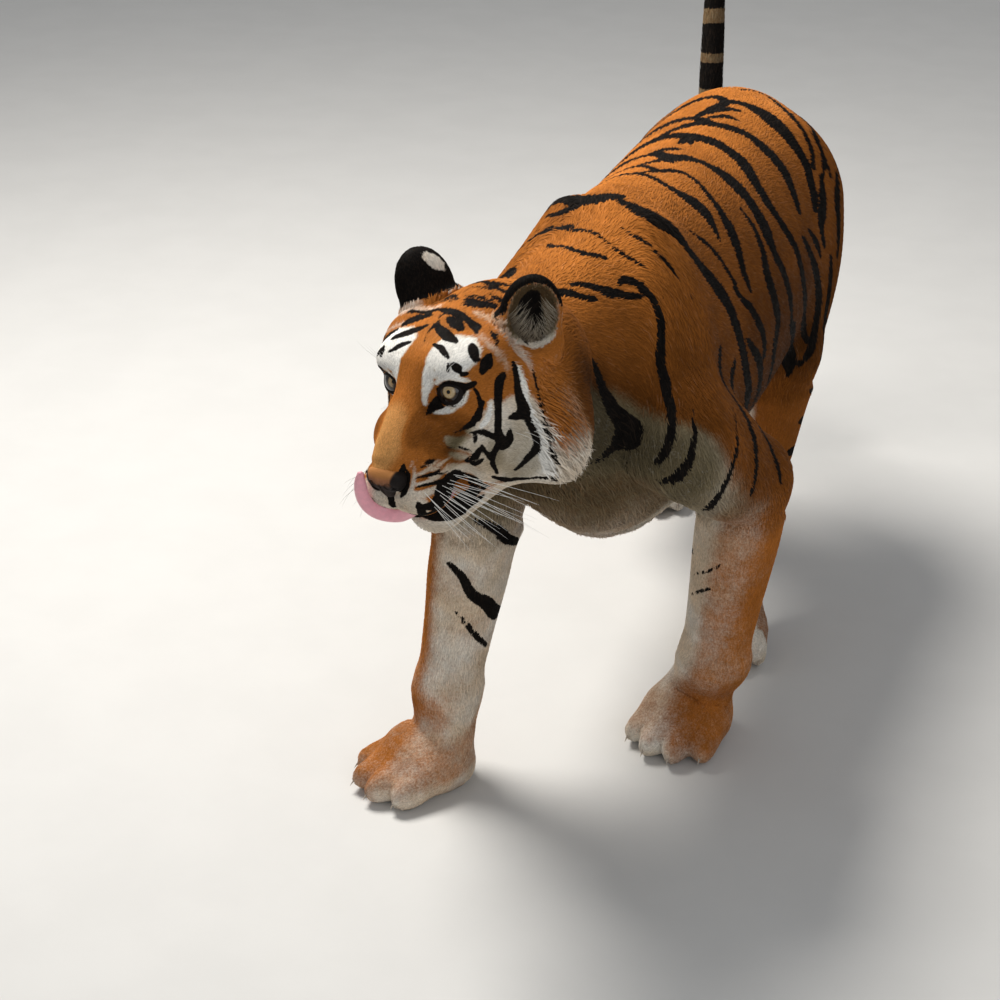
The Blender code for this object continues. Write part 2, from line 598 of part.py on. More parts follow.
# neck
NECK = Frame((-0.06, -0.175, 0.72), rot(0, -24))
pieces["neck"] = part_off(whole, "neck", lambda g: box((-0.30, -0.40, -0.215), (0.30, 0.0, 0.35), NECK, g))

# hind legs: thigh, shank, foot from the hock down
HIND_L = [(0.455, 0.403), (0.72, 0.403), (0.90, 0.57), (0.955, 0.70), (0.90, 0.80), (0.76, 0.83), (0.62, 0.75), (0.50, 0.62), (0.455, 0.50)]
HIND_R = [(0.64, 0.405), (0.90, 0.405), (0.95, 0.50), (0.965, 0.60), (0.955, 0.70), (0.90, 0.79), (0.76, 0.81), (0.64, 0.72), (0.61, 0.55)]
pieces["hindleg_left_thigh"] = part_off(whole, "hindleg_left_thigh", lambda g: prism(HIND_L, 0.070, 0.45, g))
pieces["hindleg_right_thigh"] = part_off(whole, "hindleg_right_thigh", lambda g: prism(HIND_R, -0.030, -0.45, g))
pieces["hindleg_left_shank"] = part_off(whole, "hindleg_left_shank", lambda g: box((0.02, 0.20, -0.10), (0.45, 0.90, 0.403), WORLD, g))
pieces["hindleg_right_shank"] = part_off(whole, "hindleg_right_shank", lambda g: box((-0.45, 0.60, -0.10), (-0.005, 1.25, 0.405), WORLD, g))
pieces["hindleg_left_foot"] = part_off(pieces["hindleg_left_shank"], "hindleg_left_foot", lambda g: box((0.0, 0.20, -0.12), (0.45, 0.90, 0.245), WORLD, g))
pieces["hindleg_right_foot"] = part_off(pieces["hindleg_right_shank"], "hindleg_right_foot", lambda g: box((-0.45, 0.64, -0.12), (0.0, 1.25, 0.275), WORLD, g))
tidy(whole)
pieces["trunk"] = whole

# the lower jaw and the nose leather come off the head
pieces["nose"] = part_off(head, "nose", lambda g: box((-0.027, -0.260, -0.046), (0.027, -0.201, -0.008), HEAD, g))
JAW = Frame(HEAD.world((0, -0.100, -0.0885)), HEAD.r @ rot(0, -4))
pieces["jaw"] = part_off(head, "jaw", lambda g: box((-0.20, -0.15, -0.20), (0.20, 0.045, 0.0), JAW, g))

# eyes, seated in the head
for side, word in ((1, "left"), (-1, "right")):
    c = (side * EYE_C[0], EYE_C[1], EYE_C[2])
    room = ball("room", c, EYE_R + GAP, HEAD)
    boolean(head, room, "DIFFERENCE")
    bpy.data.objects.remove(room, do_unlink=True)
    pieces[f"eye_{word}"] = ball(f"eye_{word}", c, EYE_R, HEAD)

# ears: a cup each, seated in the crown
for side, word in ((1, "left"), (-1, "right")):
    shell, foot, cup = ear_masses[side]
    bm = bmesh.new()
    shell.seed(bm)
    ear = mesh_object(f"ear_{word}", bm, PARTS)
    bm = bmesh.new()
    cup.seed(bm)
    c = mesh_object("cutter", bm, CUTTERS)
    boolean(ear, c, "DIFFERENCE")
    bpy.data.objects.remove(c, do_unlink=True)
    low = box((-0.1, -0.1, -0.1), (0.1, 0.1, -0.006), shell.frame)
    boolean(ear, low, "DIFFERENCE")
    bpy.data.objects.remove(low, do_unlink=True)
    tidy(ear)
    bm = bmesh.new()
    shell.seed(bm, -GAP)
    c = mesh_object("cutter", bm, CUTTERS)
    low = box((-0.1, -0.1, -0.1), (0.1, 0.1, -0.006 - GAP), shell.frame)
    boolean(c, low, "DIFFERENCE")
    for target in ("head", "neck"):
        boolean(pieces[target], c, "DIFFERENCE")
    for o in (c, low):
        bpy.data.objects.remove(o, do_unlink=True)
    pieces[f"ear_{word}"] = ear

# the tongue: out between the lips and curled up over the right of the upper lip
tongue_room = tongue_part(3 * GAP)
bm = bmesh.new()
tongue_part(0.0).seed(bm)
pieces["tongue"] = mesh_object("tongue", bm, PARTS)
for target in ("head", "jaw", "nose"):
    bm = bmesh.new()
    tongue_room.seed(bm)
    c = mesh_object("cutter", bm, CUTTERS)
    boolean(pieces[target], c, "DIFFERENCE")
    bpy.data.objects.remove(c, do_unlink=True)

for name, obj in pieces.items():
    tidy(obj)

# the bounding box's middle, on the floor, becomes the origin
every = np.vstack([coords_of(o.data) for o in pieces.values()])
low, high = every.min(0), every.max(0)
shift = np.array([(low[0] + high[0]) / 2, (low[1] + high[1]) / 2, low[2]])
looks = {
    "eye": (EYE, 0.12), "tongue": (PINK, 0.35), "nose": (PINK, 0.45), "ear": (DARK, 0.85), "jaw": (WHITE, 0.85),
    "neck": (CREAM, 0.85), "foreleg": (CREAM, 0.85), "hindleg": (ORANGE, 0.85),
}
for name, obj in pieces.items():
    set_coords(obj.data, coords_of(obj.data) - shift)
    colour, rough = looks.get(name.split("_")[0], (ORANGE, 0.85))
    obj.data.materials.clear()
    obj.data.materials.append(material(name, colour, rough))
    obj.data.shade_smooth()
    obj.data.set_sharp_from_angle(angle=math.radians(50))
bpy.data.collections.remove(CUTTERS)
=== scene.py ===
"""Looks of the bengal tiger: skin, coat, face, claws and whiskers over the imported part.

The body is described by the same masses and tubes as the part, drawn in by the
depth of the coat; the markings are strokes laid on it; the coat is short tufts
that follow the lie of the hair.
"""
import json
import math
import bmesh
import bpy
import numpy as np
from mathutils import Matrix, Vector

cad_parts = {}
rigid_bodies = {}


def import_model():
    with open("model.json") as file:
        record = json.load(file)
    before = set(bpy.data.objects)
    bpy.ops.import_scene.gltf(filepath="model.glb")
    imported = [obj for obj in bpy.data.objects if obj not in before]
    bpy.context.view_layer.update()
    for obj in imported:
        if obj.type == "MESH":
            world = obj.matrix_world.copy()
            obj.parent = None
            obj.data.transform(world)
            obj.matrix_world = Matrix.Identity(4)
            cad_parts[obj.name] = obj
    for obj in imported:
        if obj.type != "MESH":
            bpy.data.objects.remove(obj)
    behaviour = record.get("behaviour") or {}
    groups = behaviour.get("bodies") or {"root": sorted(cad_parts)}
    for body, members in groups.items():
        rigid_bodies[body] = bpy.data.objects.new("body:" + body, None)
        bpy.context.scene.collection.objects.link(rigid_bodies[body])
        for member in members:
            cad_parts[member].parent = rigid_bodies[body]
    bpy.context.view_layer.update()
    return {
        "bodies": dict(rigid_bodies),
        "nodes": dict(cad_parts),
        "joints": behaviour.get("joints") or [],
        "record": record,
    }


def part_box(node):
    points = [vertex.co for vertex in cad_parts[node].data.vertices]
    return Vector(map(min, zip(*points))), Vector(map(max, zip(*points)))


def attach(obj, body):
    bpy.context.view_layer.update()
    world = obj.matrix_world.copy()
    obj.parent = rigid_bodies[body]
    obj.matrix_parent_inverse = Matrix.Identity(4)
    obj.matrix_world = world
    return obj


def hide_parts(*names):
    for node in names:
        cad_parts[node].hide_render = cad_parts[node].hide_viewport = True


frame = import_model()
TONGUE_WIDTH = 0.040
TONGUE_THICK = 0.007


# ---------------------------------------------------------------- field tools
def rot(yaw=0.0, pitch=0.0, roll=0.0):
    """Rotation: yaw about Z (negative turns to the animal's right), pitch about X (positive lowers the nose), roll about Y."""
    return np.array(Matrix.Rotation(math.radians(yaw), 3, "Z") @ Matrix.Rotation(math.radians(pitch), 3, "X") @ Matrix.Rotation(math.radians(roll), 3, "Y"))


def spline(points, n):
    """Catmull-Rom through the rows of points (any number of columns), n samples."""
    p = np.asarray(points, float)
    if len(p) < 3:
        t = np.linspace(0, 1, n)[:, None]
        return p[0] * (1 - t) + p[-1] * t
    q = np.vstack([2 * p[0] - p[1], p, 2 * p[-1] - p[-2]])
    u = np.linspace(0, len(p) - 1 - 1e-9, n)
    i = u.astype(int)
    f = (u - i)[:, None]
    a, b, c, d = q[i], q[i + 1], q[i + 2], q[i + 3]
    return 0.5 * (2 * b + (c - a) * f + (2 * a - 5 * b + 4 * c - d) * f * f + (3 * b - a - 3 * c + d) * f ** 3)


class Frame:
    """A body part's own axes: origin and rotation."""
    def __init__(self, origin=(0, 0, 0), r=None):
        self.o = np.asarray(origin, float)
        self.r = np.eye(3) if r is None else r

    def local(self, p):
        return (p - self.o) @ self.r

    def world(self, p):
        return np.asarray(p, float) @ self.r.T + self.o

    def vec(self, v):
        return np.asarray(v, float) @ self.r.T


WORLD = Frame()


class Blob:
    """An ellipsoid mass; mirror=True gives one on each side of its frame."""
    def __init__(self, c, r, tilt=None, k=0.02, mirror=False, frame=WORLD, flow=(0, 1, 0), sub=False, tag="body"):
        self.c, self.rad = np.asarray(c, float), np.asarray(r, float)
        self.tilt = np.eye(3) if tilt is None else tilt
        self.k, self.mirror, self.frame, self.flow, self.sub, self.tag = k, mirror, frame, np.asarray(flow, float), sub, tag

    def box(self):
        reach = np.abs(self.tilt) @ self.rad
        return self.c - reach, self.c + reach

    def dist(self, q):
        v = (q - self.c) @ self.tilt
        k0 = np.linalg.norm(v / self.rad, axis=1)
        k1 = np.linalg.norm(v / self.rad ** 2, axis=1)
        return np.where(k1 < 1e-6, -self.rad.min(), k0 * (k0 - 1) / np.maximum(k1, 1e-6))

    def flow_at(self, q):
        return np.broadcast_to(self.flow, q.shape)

    def seed(self, bm, shrink=0.0):
        for s in (1, -1) if self.mirror else (1,):
            m = np.eye(4)
            m[:3, :3] = self.tilt @ np.diag(np.maximum(self.rad - shrink, 0.001))
            m[:3, 3] = self.c
            w = np.eye(4)
            w[:3, :3] = self.frame.r @ np.diag([s, 1, 1])
            w[:3, 3] = self.frame.o
            made = bmesh.ops.create_uvsphere(bm, u_segments=16, v_segments=10, radius=1.0, matrix=Matrix((w @ m).tolist()))
            if s < 0:
                bmesh.ops.reverse_faces(bm, faces=list({f for v in made["verts"] for f in v.link_faces}))


class Tube:
    """A tube with an egg-shaped section: rows of (x, y, z, half width, height above, depth below)."""
    def __init__(self, rows, k=0.02, mirror=False, frame=WORLD, up=(0, 0, 1), egg=0.0, n=28, cap=1.0, sub=False, tag="body", sides=24, flowsign=1.0, rolls=None):
        rows = [tuple(r) if len(r) == 6 else (*r[:4], r[3], r[3]) for r in rows]
        s = spline(rows, n)
        self.p, self.a, self.bt, self.bb = s[:, :3], np.abs(s[:, 3]), np.abs(s[:, 4]), np.abs(s[:, 5])
        t = np.gradient(self.p, axis=0)
        self.t = t / np.linalg.norm(t, axis=1, keepdims=True)
        ups = np.broadcast_to(np.asarray(up, float), self.t.shape)
        if rolls is not None:
            r = np.radians(spline([(v,) for v in rolls], n)[:, 0])
            ups = np.stack([np.sin(r), 0 * r, np.cos(r)], 1)
        side = np.cross(self.t, ups)
        self.x = side / np.linalg.norm(side, axis=1, keepdims=True)
        self.u = np.cross(self.x, self.t)
        self.k, self.mirror, self.frame, self.egg, self.cap, self.sub, self.tag, self.sides = k, mirror, frame, egg, cap, sub, tag, sides
        self.flowsign = flowsign
        seg = np.linalg.norm(np.diff(self.p, axis=0), axis=1)
        self.arc = np.concatenate([[0], np.cumsum(seg)])

    def box(self):
        m = np.maximum(self.a, np.maximum(self.bt, self.bb))[:, None]
        return (self.p - m).min(0), (self.p + m).max(0)

    def nearest(self, q):
        a, d = self.p[:-1], np.diff(self.p, axis=0)
        best = np.full(len(q), 1e9)
        idx = np.zeros(len(q), int)
        fr = np.zeros(len(q))
        dd = (d * d).sum(1)
        for i in range(len(a)):
            v = q - a[i]
            t = np.clip(v @ d[i] / dd[i], 0, 1)
            e = v - t[:, None] * d[i]
            e2 = (e * e).sum(1)
            m = e2 < best
            best[m], idx[m], fr[m] = e2[m], i, t[m]
        return idx, fr

    def at(self, idx, fr, arr):
        if arr.ndim == 1:
            return arr[idx] * (1 - fr) + arr[idx + 1] * fr
        return arr[idx] * (1 - fr[:, None]) + arr[idx + 1] * fr[:, None]

    def coords(self, q):
        idx, fr = self.nearest(q)
        c = self.at(idx, fr, self.p)
        x, u, t = (self.at(idx, fr, m) for m in (self.x, self.u, self.t))
        v = q - c
        return (v * x).sum(1), (v * u).sum(1), (v * t).sum(1), idx, fr

    def dist(self, q):
        px, pu, pt, idx, fr = self.coords(q)
        a, bt, bb = (self.at(idx, fr, m) for m in (self.a, self.bt, self.bb))
        b = np.where(pu > 0, bt, bb)
        a = a * (1 - self.egg * np.clip(pu / b, -1, 1))
        inside = ((idx > 0) | (fr > 1e-6)) & ((idx < len(self.p) - 2) | (fr < 1 - 1e-6))
        pt = np.where(inside, 0.0, pt)
        c = self.cap * np.minimum(a, b)
        k0 = np.sqrt((px / a) ** 2 + (pu / b) ** 2 + (pt / c) ** 2)
        k1 = np.sqrt((px / a ** 2) ** 2 + (pu / b ** 2) ** 2 + (pt / c ** 2) ** 2)
        return np.where(k1 < 1e-6, -np.minimum(a, b), k0 * (k0 - 1) / np.maximum(k1, 1e-6))

    def flow_at(self, q):
        idx, fr = self.nearest(q)
        return self.flowsign * self.at(idx, fr, self.t)

    def seed(self, bm, shrink=0.0):
        n = self.sides
        ang = 2 * np.pi * np.arange(n) / n
        for s in (1, -1) if self.mirror else (1,):
            rings = []
            rows = [(0, 0.35, -0.93)] + [(i, 1.0, 0.0) for i in range(len(self.p))] + [(len(self.p) - 1, 0.35, 0.93)]
            for i, f, off in rows:
                a, bt, bb = (max(v[i] - shrink, 0.001) for v in (self.a, self.bt, self.bb))
                c = self.cap * min(a, bt, bb)
                su = np.sin(ang)
                b = np.where(su > 0, bt, bb)
                ring = self.p[i] + f * (np.cos(ang) * a * (1 - self.egg * su))[:, None] * self.x[i] + f * (su * b)[:, None] * self.u[i] + off * c * self.t[i]
                ring = ring * np.array([s, 1, 1])
                rings.append([bm.verts.new(v) for v in self.frame.world(ring)])
            faces = [bm.faces.new((r0[j], r1[j], r1[(j + 1) % n], r0[(j + 1) % n])) for r0, r1 in zip(rings, rings[1:]) for j in range(n)]
            faces += [bm.faces.new(rings[0]), bm.faces.new(rings[-1][::-1])]
            if s < 0:
                bmesh.ops.reverse_faces(bm, faces=faces)


def smooth_min(a, b, k):
    h = np.clip(0.5 + 0.5 * (b - a) / k, 0, 1)
    return b * (1 - h) + a * h - k * h * (1 - h)


def local_of(part, p):
    q = part.frame.local(p)
    if part.mirror:
        q = q.copy()
        q[:, 0] = np.abs(q[:, 0])
    return q


def near_box(part, q, margin):
    lo, hi = part.box()
    return np.all((q > lo - margin) & (q < hi + margin), axis=1)


def field(p, parts, margin=0.09):
    """Distance to the smooth union of the parts, in their order; parts with sub=True are cut away."""
    d = np.full(len(p), margin)
    for part in parts:
        q = local_of(part, p)
        m = near_box(part, q, margin)
        if not m.any():
            continue
        e = part.dist(q[m])
        if part.sub:
            d[m] = -smooth_min(-d[m], e, part.k)
        else:
            d[m] = smooth_min(d[m], e, part.k)
    return d


def gradient(p, parts, h=0.0006):
    g = np.empty_like(p)
    for i in range(3):
        e = np.zeros(3)
        e[i] = h
        g[:, i] = field(p + e, parts) - field(p - e, parts)
    return g / np.maximum(np.linalg.norm(g, axis=1, keepdims=True), 1e-12)


def project(p, parts, steps=4, offset=0.0, most=0.02):
    """Moves points onto the field's surface, along its gradient."""
    p = p.copy()
    for _ in range(steps):
        d = field(p, parts) - offset
        p -= gradient(p, parts) * np.clip(d, -most, most)[:, None]
    return p


def coords_of(mesh):
    c = np.empty(len(mesh.vertices) * 3, np.float32)
    mesh.vertices.foreach_get("co", c)
    return c.reshape(-1, 3).astype(float)


def set_coords(mesh, c):
    mesh.vertices.foreach_set("co", np.asarray(c, np.float32).ravel())
    mesh.update()


def applied(obj):
    """Replaces the object's mesh with what its modifiers make of it."""
    bpy.context.view_layer.update()
    dg = bpy.context.evaluated_depsgraph_get()
    mesh = bpy.data.meshes.new_from_object(obj.evaluated_get(dg))
    old = obj.data
    obj.modifiers.clear()
    obj.data = mesh
    bpy.data.meshes.remove(old)
    return obj


def seed_object(parts, name, collection, voxel, shrink=0.0):
    bm = bmesh.new()
    for part in parts:
        if not part.sub:
            part.seed(bm, shrink)
    bmesh.ops.triangulate(bm, faces=bm.faces)
    mesh = bpy.data.meshes.new(name)
    bm.to_mesh(mesh)
    bm.free()
    obj = bpy.data.objects.new(name, mesh)
    collection.objects.link(obj)
    r = obj.modifiers.new("Remesh", "REMESH")
    r.mode, r.voxel_size, r.adaptivity = "VOXEL", voxel, 0.0
    return applied(obj)


# ------------------------------------------------------------- tiger's masses
HEAD = Frame((-0.079, -0.387, 0.806), rot(-23.0, 15.8, -7.6))
EYE_C = (0.0455, -0.0925, 0.0375)
EYE_R = 0.0185
EAR_SWING = {1: 52, -1: 112}      # the left ear faces forward and out, the right one out and back


def ear_parts(f, side, swing):
    """The cup opens towards -Y of its own frame; swing turns it outwards."""
    up = rot(0, -10, side * 12) @ rot(side * swing)
    base = np.array((side * 0.086, 0.030 - (0.012 if side > 0 else 0.0), 0.058 - (0.010 if side > 0 else 0.0)))
    ef = Frame(f.world(base), f.r @ up)
    return [
        Blob((0, 0.004, 0.032), (0.041, 0.024, 0.054), k=0.014, frame=ef, tag="ear", flow=(0, 0.1, 1)),
        Blob((0, 0.004, -0.006), (0.038, 0.028, 0.030), k=0.018, frame=ef, tag="ear", flow=(0, 0.1, 1)),
        Blob((0, -0.046, 0.040), (0.036, 0.056, 0.046), k=0.006, frame=ef, sub=True, tag="earin", flow=(0, 0.1, 1)),
    ]


def head_parts(f=HEAD, s=1.0):
    def B(c, r, **kw):
        kw.setdefault("tag", "head")
        return Blob(np.array(c) * s, np.array(r) * s, frame=f, **kw)
    def T(rows, **kw):
        return Tube([tuple(np.array(r, float) * s) for r in rows], frame=f, tag="head", **kw)
    parts = [
        B((0, 0.015, 0.018), (0.095, 0.108, 0.086), k=0.03, flow=(0, 1, 0)),
        B((0, 0.060, -0.030), (0.105, 0.100, 0.105), k=0.04, flow=(0, 1, -0.2)),
        B((0.062, -0.030, 0.030), (0.042, 0.060, 0.050), k=0.03, mirror=True, flow=(0.25, 0.95, 0)),
        B((0.060, -0.040, -0.028), (0.046, 0.072, 0.056), k=0.03, mirror=True, flow=(0.25, 0.95, 0)),
        B((0, -0.042, 0.046), (0.066, 0.064, 0.044), k=0.03),
        B((0.078, -0.010, 0.042), (0.034, 0.056, 0.046), k=0.03, mirror=True, flow=(0.35, 0.9, 0.1)),
        B((0.046, -0.076, 0.062), (0.034, 0.034, 0.024), k=0.022, mirror=True, flow=(0.3, 0.9, 0.3)),
        B((0.039, -0.116, -0.012), (0.038, 0.056, 0.038), k=0.025, mirror=True, flow=(0.3, 0.9, -0.1)),
        T([(0, -0.085, 0.044, 0.038, 0.036, 0.04), (0, -0.130, 0.022, 0.033, 0.029, 0.04), (0, -0.170, -0.002, 0.030, 0.026, 0.03), (0, -0.196, -0.018, 0.027, 0.020, 0.02)], k=0.025, flowsign=-1.0),
        T([(0, -0.080, -0.030, 0.062, 0.05, 0.055), (0, -0.140, -0.044, 0.055, 0.036, 0.044), (0, -0.178, -0.054, 0.048, 0.030, 0.034)], k=0.022, flowsign=-1.0),
        B((0.032, -0.174, -0.056), (0.032, 0.038, 0.032), k=0.014, mirror=True, flow=(0.5, 0.86, -0.1)),
        B((0, -0.203, -0.028), (0.027, 0.014, 0.019), k=0.010),
        T([(0, -0.01, -0.085, 0.078, 0.05, 0.055), (0, -0.08, -0.106, 0.058, 0.036, 0.038), (0, -0.125, -0.114, 0.044, 0.028, 0.028), (0, -0.150, -0.115, 0.037, 0.026, 0.026)], k=0.016, flowsign=-1.0),
        B((0.062, -0.058, -0.066), (0.040, 0.062, 0.046), k=0.03, mirror=True, flow=(0.35, 0.9, -0.2)),
        B((0.086, 0.008, -0.080), (0.052, 0.066, 0.080), k=0.04, mirror=True, flow=(0.45, 0.7, -0.55)),
        # eye hollows
        B((0.051, -0.118, 0.037), (0.026, 0.017, 0.015), k=0.014, mirror=True, sub=True),
    ]
    return parts + ear_parts(f, 1, EAR_SWING[1]) + ear_parts(f, -1, EAR_SWING[-1])


def tongue_part(grow=0.0):
    """Lofted strip in the head's axes: x, y, z, half width, half thickness."""
    w, h = TONGUE_WIDTH / 2, TONGUE_THICK / 2 + grow
    rows = [(0.012, -0.130, -0.090, 0.8), (0.004, -0.160, -0.089, 1.0), (-0.006, -0.190, -0.090, 1.0), (-0.018, -0.2125, -0.082, 0.95), (-0.030, -0.2205, -0.064, 0.85), (-0.038, -0.2200, -0.044, 0.70), (-0.041, -0.2150, -0.028, 0.45)]
    return Tube([(x, y, z, w * k + grow, h, h) for x, y, z, k in rows], frame=HEAD, up=(0, 1, 1), n=14, sides=12, tag="tongue")


TRUNK_ROWS = [
    # x, y, z, half width, up, down
    (-0.075, -0.340, 0.755, 0.100, 0.120, 0.115),
    (-0.068, -0.260, 0.735, 0.115, 0.138, 0.137),
    (-0.045, -0.150, 0.715, 0.132, 0.164, 0.170),
    (-0.015, 0.000, 0.668, 0.160, 0.235, 0.262),
    (-0.005, 0.150, 0.650, 0.175, 0.243, 0.258),
    (0.008, 0.300, 0.645, 0.188, 0.232, 0.241),
    (0.015, 0.450, 0.645, 0.195, 0.225, 0.224),
    (0.025, 0.600, 0.655, 0.193, 0.218, 0.204),
    (0.030, 0.740, 0.675, 0.184, 0.197, 0.180),
    (0.024, 0.860, 0.690, 0.162, 0.168, 0.150),
    (0.010, 0.940, 0.700, 0.108, 0.114, 0.095),
]
TRUNK_ROLLS = [0, 0, 0, -2, -5, -7, -8, -8, -8, -6, -4]


def lerp(a, b, t):
    return tuple(np.array(a) * (1 - t) + np.array(b) * t)


def foreleg(side, top, shoulder, elbow, wrist, paw, yaw, w=1.0, ps=1.15):
    """side +1 is the animal's left; it is not used."""
    f = Frame((paw[0], paw[1], -0.0025), rot(yaw))
    parts = [
        # shoulder blade, upper arm, forearm
        Tube([(*top, 0.030, 0.05, 0.05), (*lerp(top, shoulder, 0.5), 0.050, 0.100, 0.090), (*shoulder, 0.066, 0.085, 0.085)], k=0.05, up=(0, -1, 0), tag="fore"),
        Tube([(*shoulder, 0.070, 0.085, 0.085), (*lerp(shoulder, elbow, 0.55), 0.074, 0.095, 0.110), (*elbow, 0.066, 0.072, 0.080)], k=0.05, up=(0, -1, 0), tag="fore"),
        Tube([(*elbow, 0.070 * w, 0.075, 0.080), (*lerp(elbow, wrist, 0.30), 0.070 * w, 0.070, 0.068), (*lerp(elbow, wrist, 0.65), 0.062 * w, 0.058, 0.056), (*wrist, 0.056 * w, 0.052, 0.054)], k=0.03, up=(0, -1, 0), tag="fore"),
        Tube([(*wrist, 0.055 * w, 0.050, 0.052), (*f.world((0, 0.022, 0.070)), 0.056 * w, 0.048, 0.046), (*f.world((0, -0.012, 0.050)), 0.062 * w, 0.040, 0.040)], k=0.03, up=(0, -1, 0.3), tag="fore"),
    ]
    return parts + paw_parts(f, side, ps)


def paw_parts(f, side, s):
    out = [Blob((0, -0.018 * s, 0.040), (0.063 * s, 0.056 * s, 0.038 * s), k=0.02, frame=f, tag="paw", flow=(0, -1, -0.2)),
           Blob((0, 0.026 * s, 0.024), (0.042 * s, 0.036 * s, 0.028), k=0.02, frame=f, tag="paw", flow=(0, -1, -0.5))]
    for x, y, r in ((0.0175, -0.074, 1.0), (-0.0175, -0.074, 1.0), (0.050, -0.054, 0.94), (-0.050, -0.054, 0.94)):
        out.append(Blob((x * s, y * s, 0.0265), (0.0190 * r * s, 0.034 * r * s, 0.029 * r), tilt=rot(x * 200), k=0.010, frame=f, tag="paw", flow=(0, -1, -0.3)))
    return out


def hindleg(side, hip, knee, hock, paw, yaw):
    f = Frame((paw[0], paw[1], -0.0025), rot(yaw))
    high = (hip[0] - side * 0.02, hip[1] - 0.02, hip[2] + 0.02)
    parts = [
        Tube([(*high, 0.070, 0.12, 0.10), (*lerp(hip, knee, 0.45), 0.082, 0.120, 0.122), (*knee, 0.068, 0.080, 0.088)], k=0.06, up=(0, -1, 0), tag="hind"),
        Tube([(*lerp(hip, knee, 0.1), 0.07, 0.09, 0.10), (*lerp(lerp(hip, knee, 0.6), hock, 0.35), 0.060, 0.065, 0.090), (*lerp(knee, hock, 0.75), 0.046, 0.046, 0.060)], k=0.05, up=(0, -1, 0), tag="hind"),
        Tube([(*knee, 0.068, 0.076, 0.082), (*lerp(knee, hock, 0.4), 0.061, 0.067, 0.076), (*lerp(knee, hock, 0.8), 0.047, 0.050, 0.060), (*hock, 0.045, 0.045, 0.052)], k=0.03, up=(0, -1, 0), tag="hind"),
        Tube([(*hock, 0.045, 0.048, 0.046), (*lerp(hock, f.world((0, 0.0, 0.045)), 0.5), 0.044, 0.045, 0.043), (*f.world((0, 0.0, 0.045)), 0.052, 0.042, 0.040)], k=0.025, up=(0, -1, 0.3), tag="hind"),
    ]
    return parts + paw_parts(f, side, 1.05)


TAIL_ROWS = [
    (0.000, 0.890, 0.765, 0.055), (-0.030, 0.975, 0.745, 0.047), (-0.060, 1.055, 0.660, 0.040), (-0.080, 1.125, 0.560, 0.036),
    (-0.096, 1.210, 0.490, 0.034), (-0.106, 1.295, 0.505, 0.032), (-0.112, 1.345, 0.590, 0.031), (-0.117, 1.370, 0.720, 0.030), (-0.120, 1.390, 0.860, 0.027), (-0.122, 1.405, 0.960, 0.018)]

FL = dict(top=(0.045, 0.050, 0.840), shoulder=(0.130, -0.130, 0.620), elbow=(0.192, 0.080, 0.475), wrist=(0.150, 0.110, 0.150), paw=(0.115, 0.125), yaw=-16)
FR = dict(top=(-0.090, 0.080, 0.850), shoulder=(-0.190, -0.150, 0.620), elbow=(-0.178, -0.060, 0.440), wrist=(-0.222, -0.085, 0.150), paw=(-0.242, -0.115), yaw=-46, w=0.95)
HL = dict(hip=(0.140, 0.800, 0.715), knee=(0.165, 0.560, 0.490), hock=(0.135, 0.590, 0.235), paw=(0.125, 0.420), yaw=4)
HR = dict(hip=(-0.085, 0.800, 0.690), knee=(-0.125, 0.760, 0.430), hock=(-0.105, 1.020, 0.270), paw=(-0.115, 0.960), yaw=0)


def all_parts():
    parts = [Tube(TRUNK_ROWS, k=0.04, egg=0.12, n=60, sides=36, tag="trunk", rolls=TRUNK_ROLLS)]
    parts += foreleg(1, **FL) + foreleg(-1, **FR)
    parts += hindleg(1, **HL) + hindleg(-1, **HR)
    parts += [Tube(TAIL_ROWS, k=0.03, n=60, tag="tail", up=(1, 0, 0))]
    parts += head_parts()
    return parts

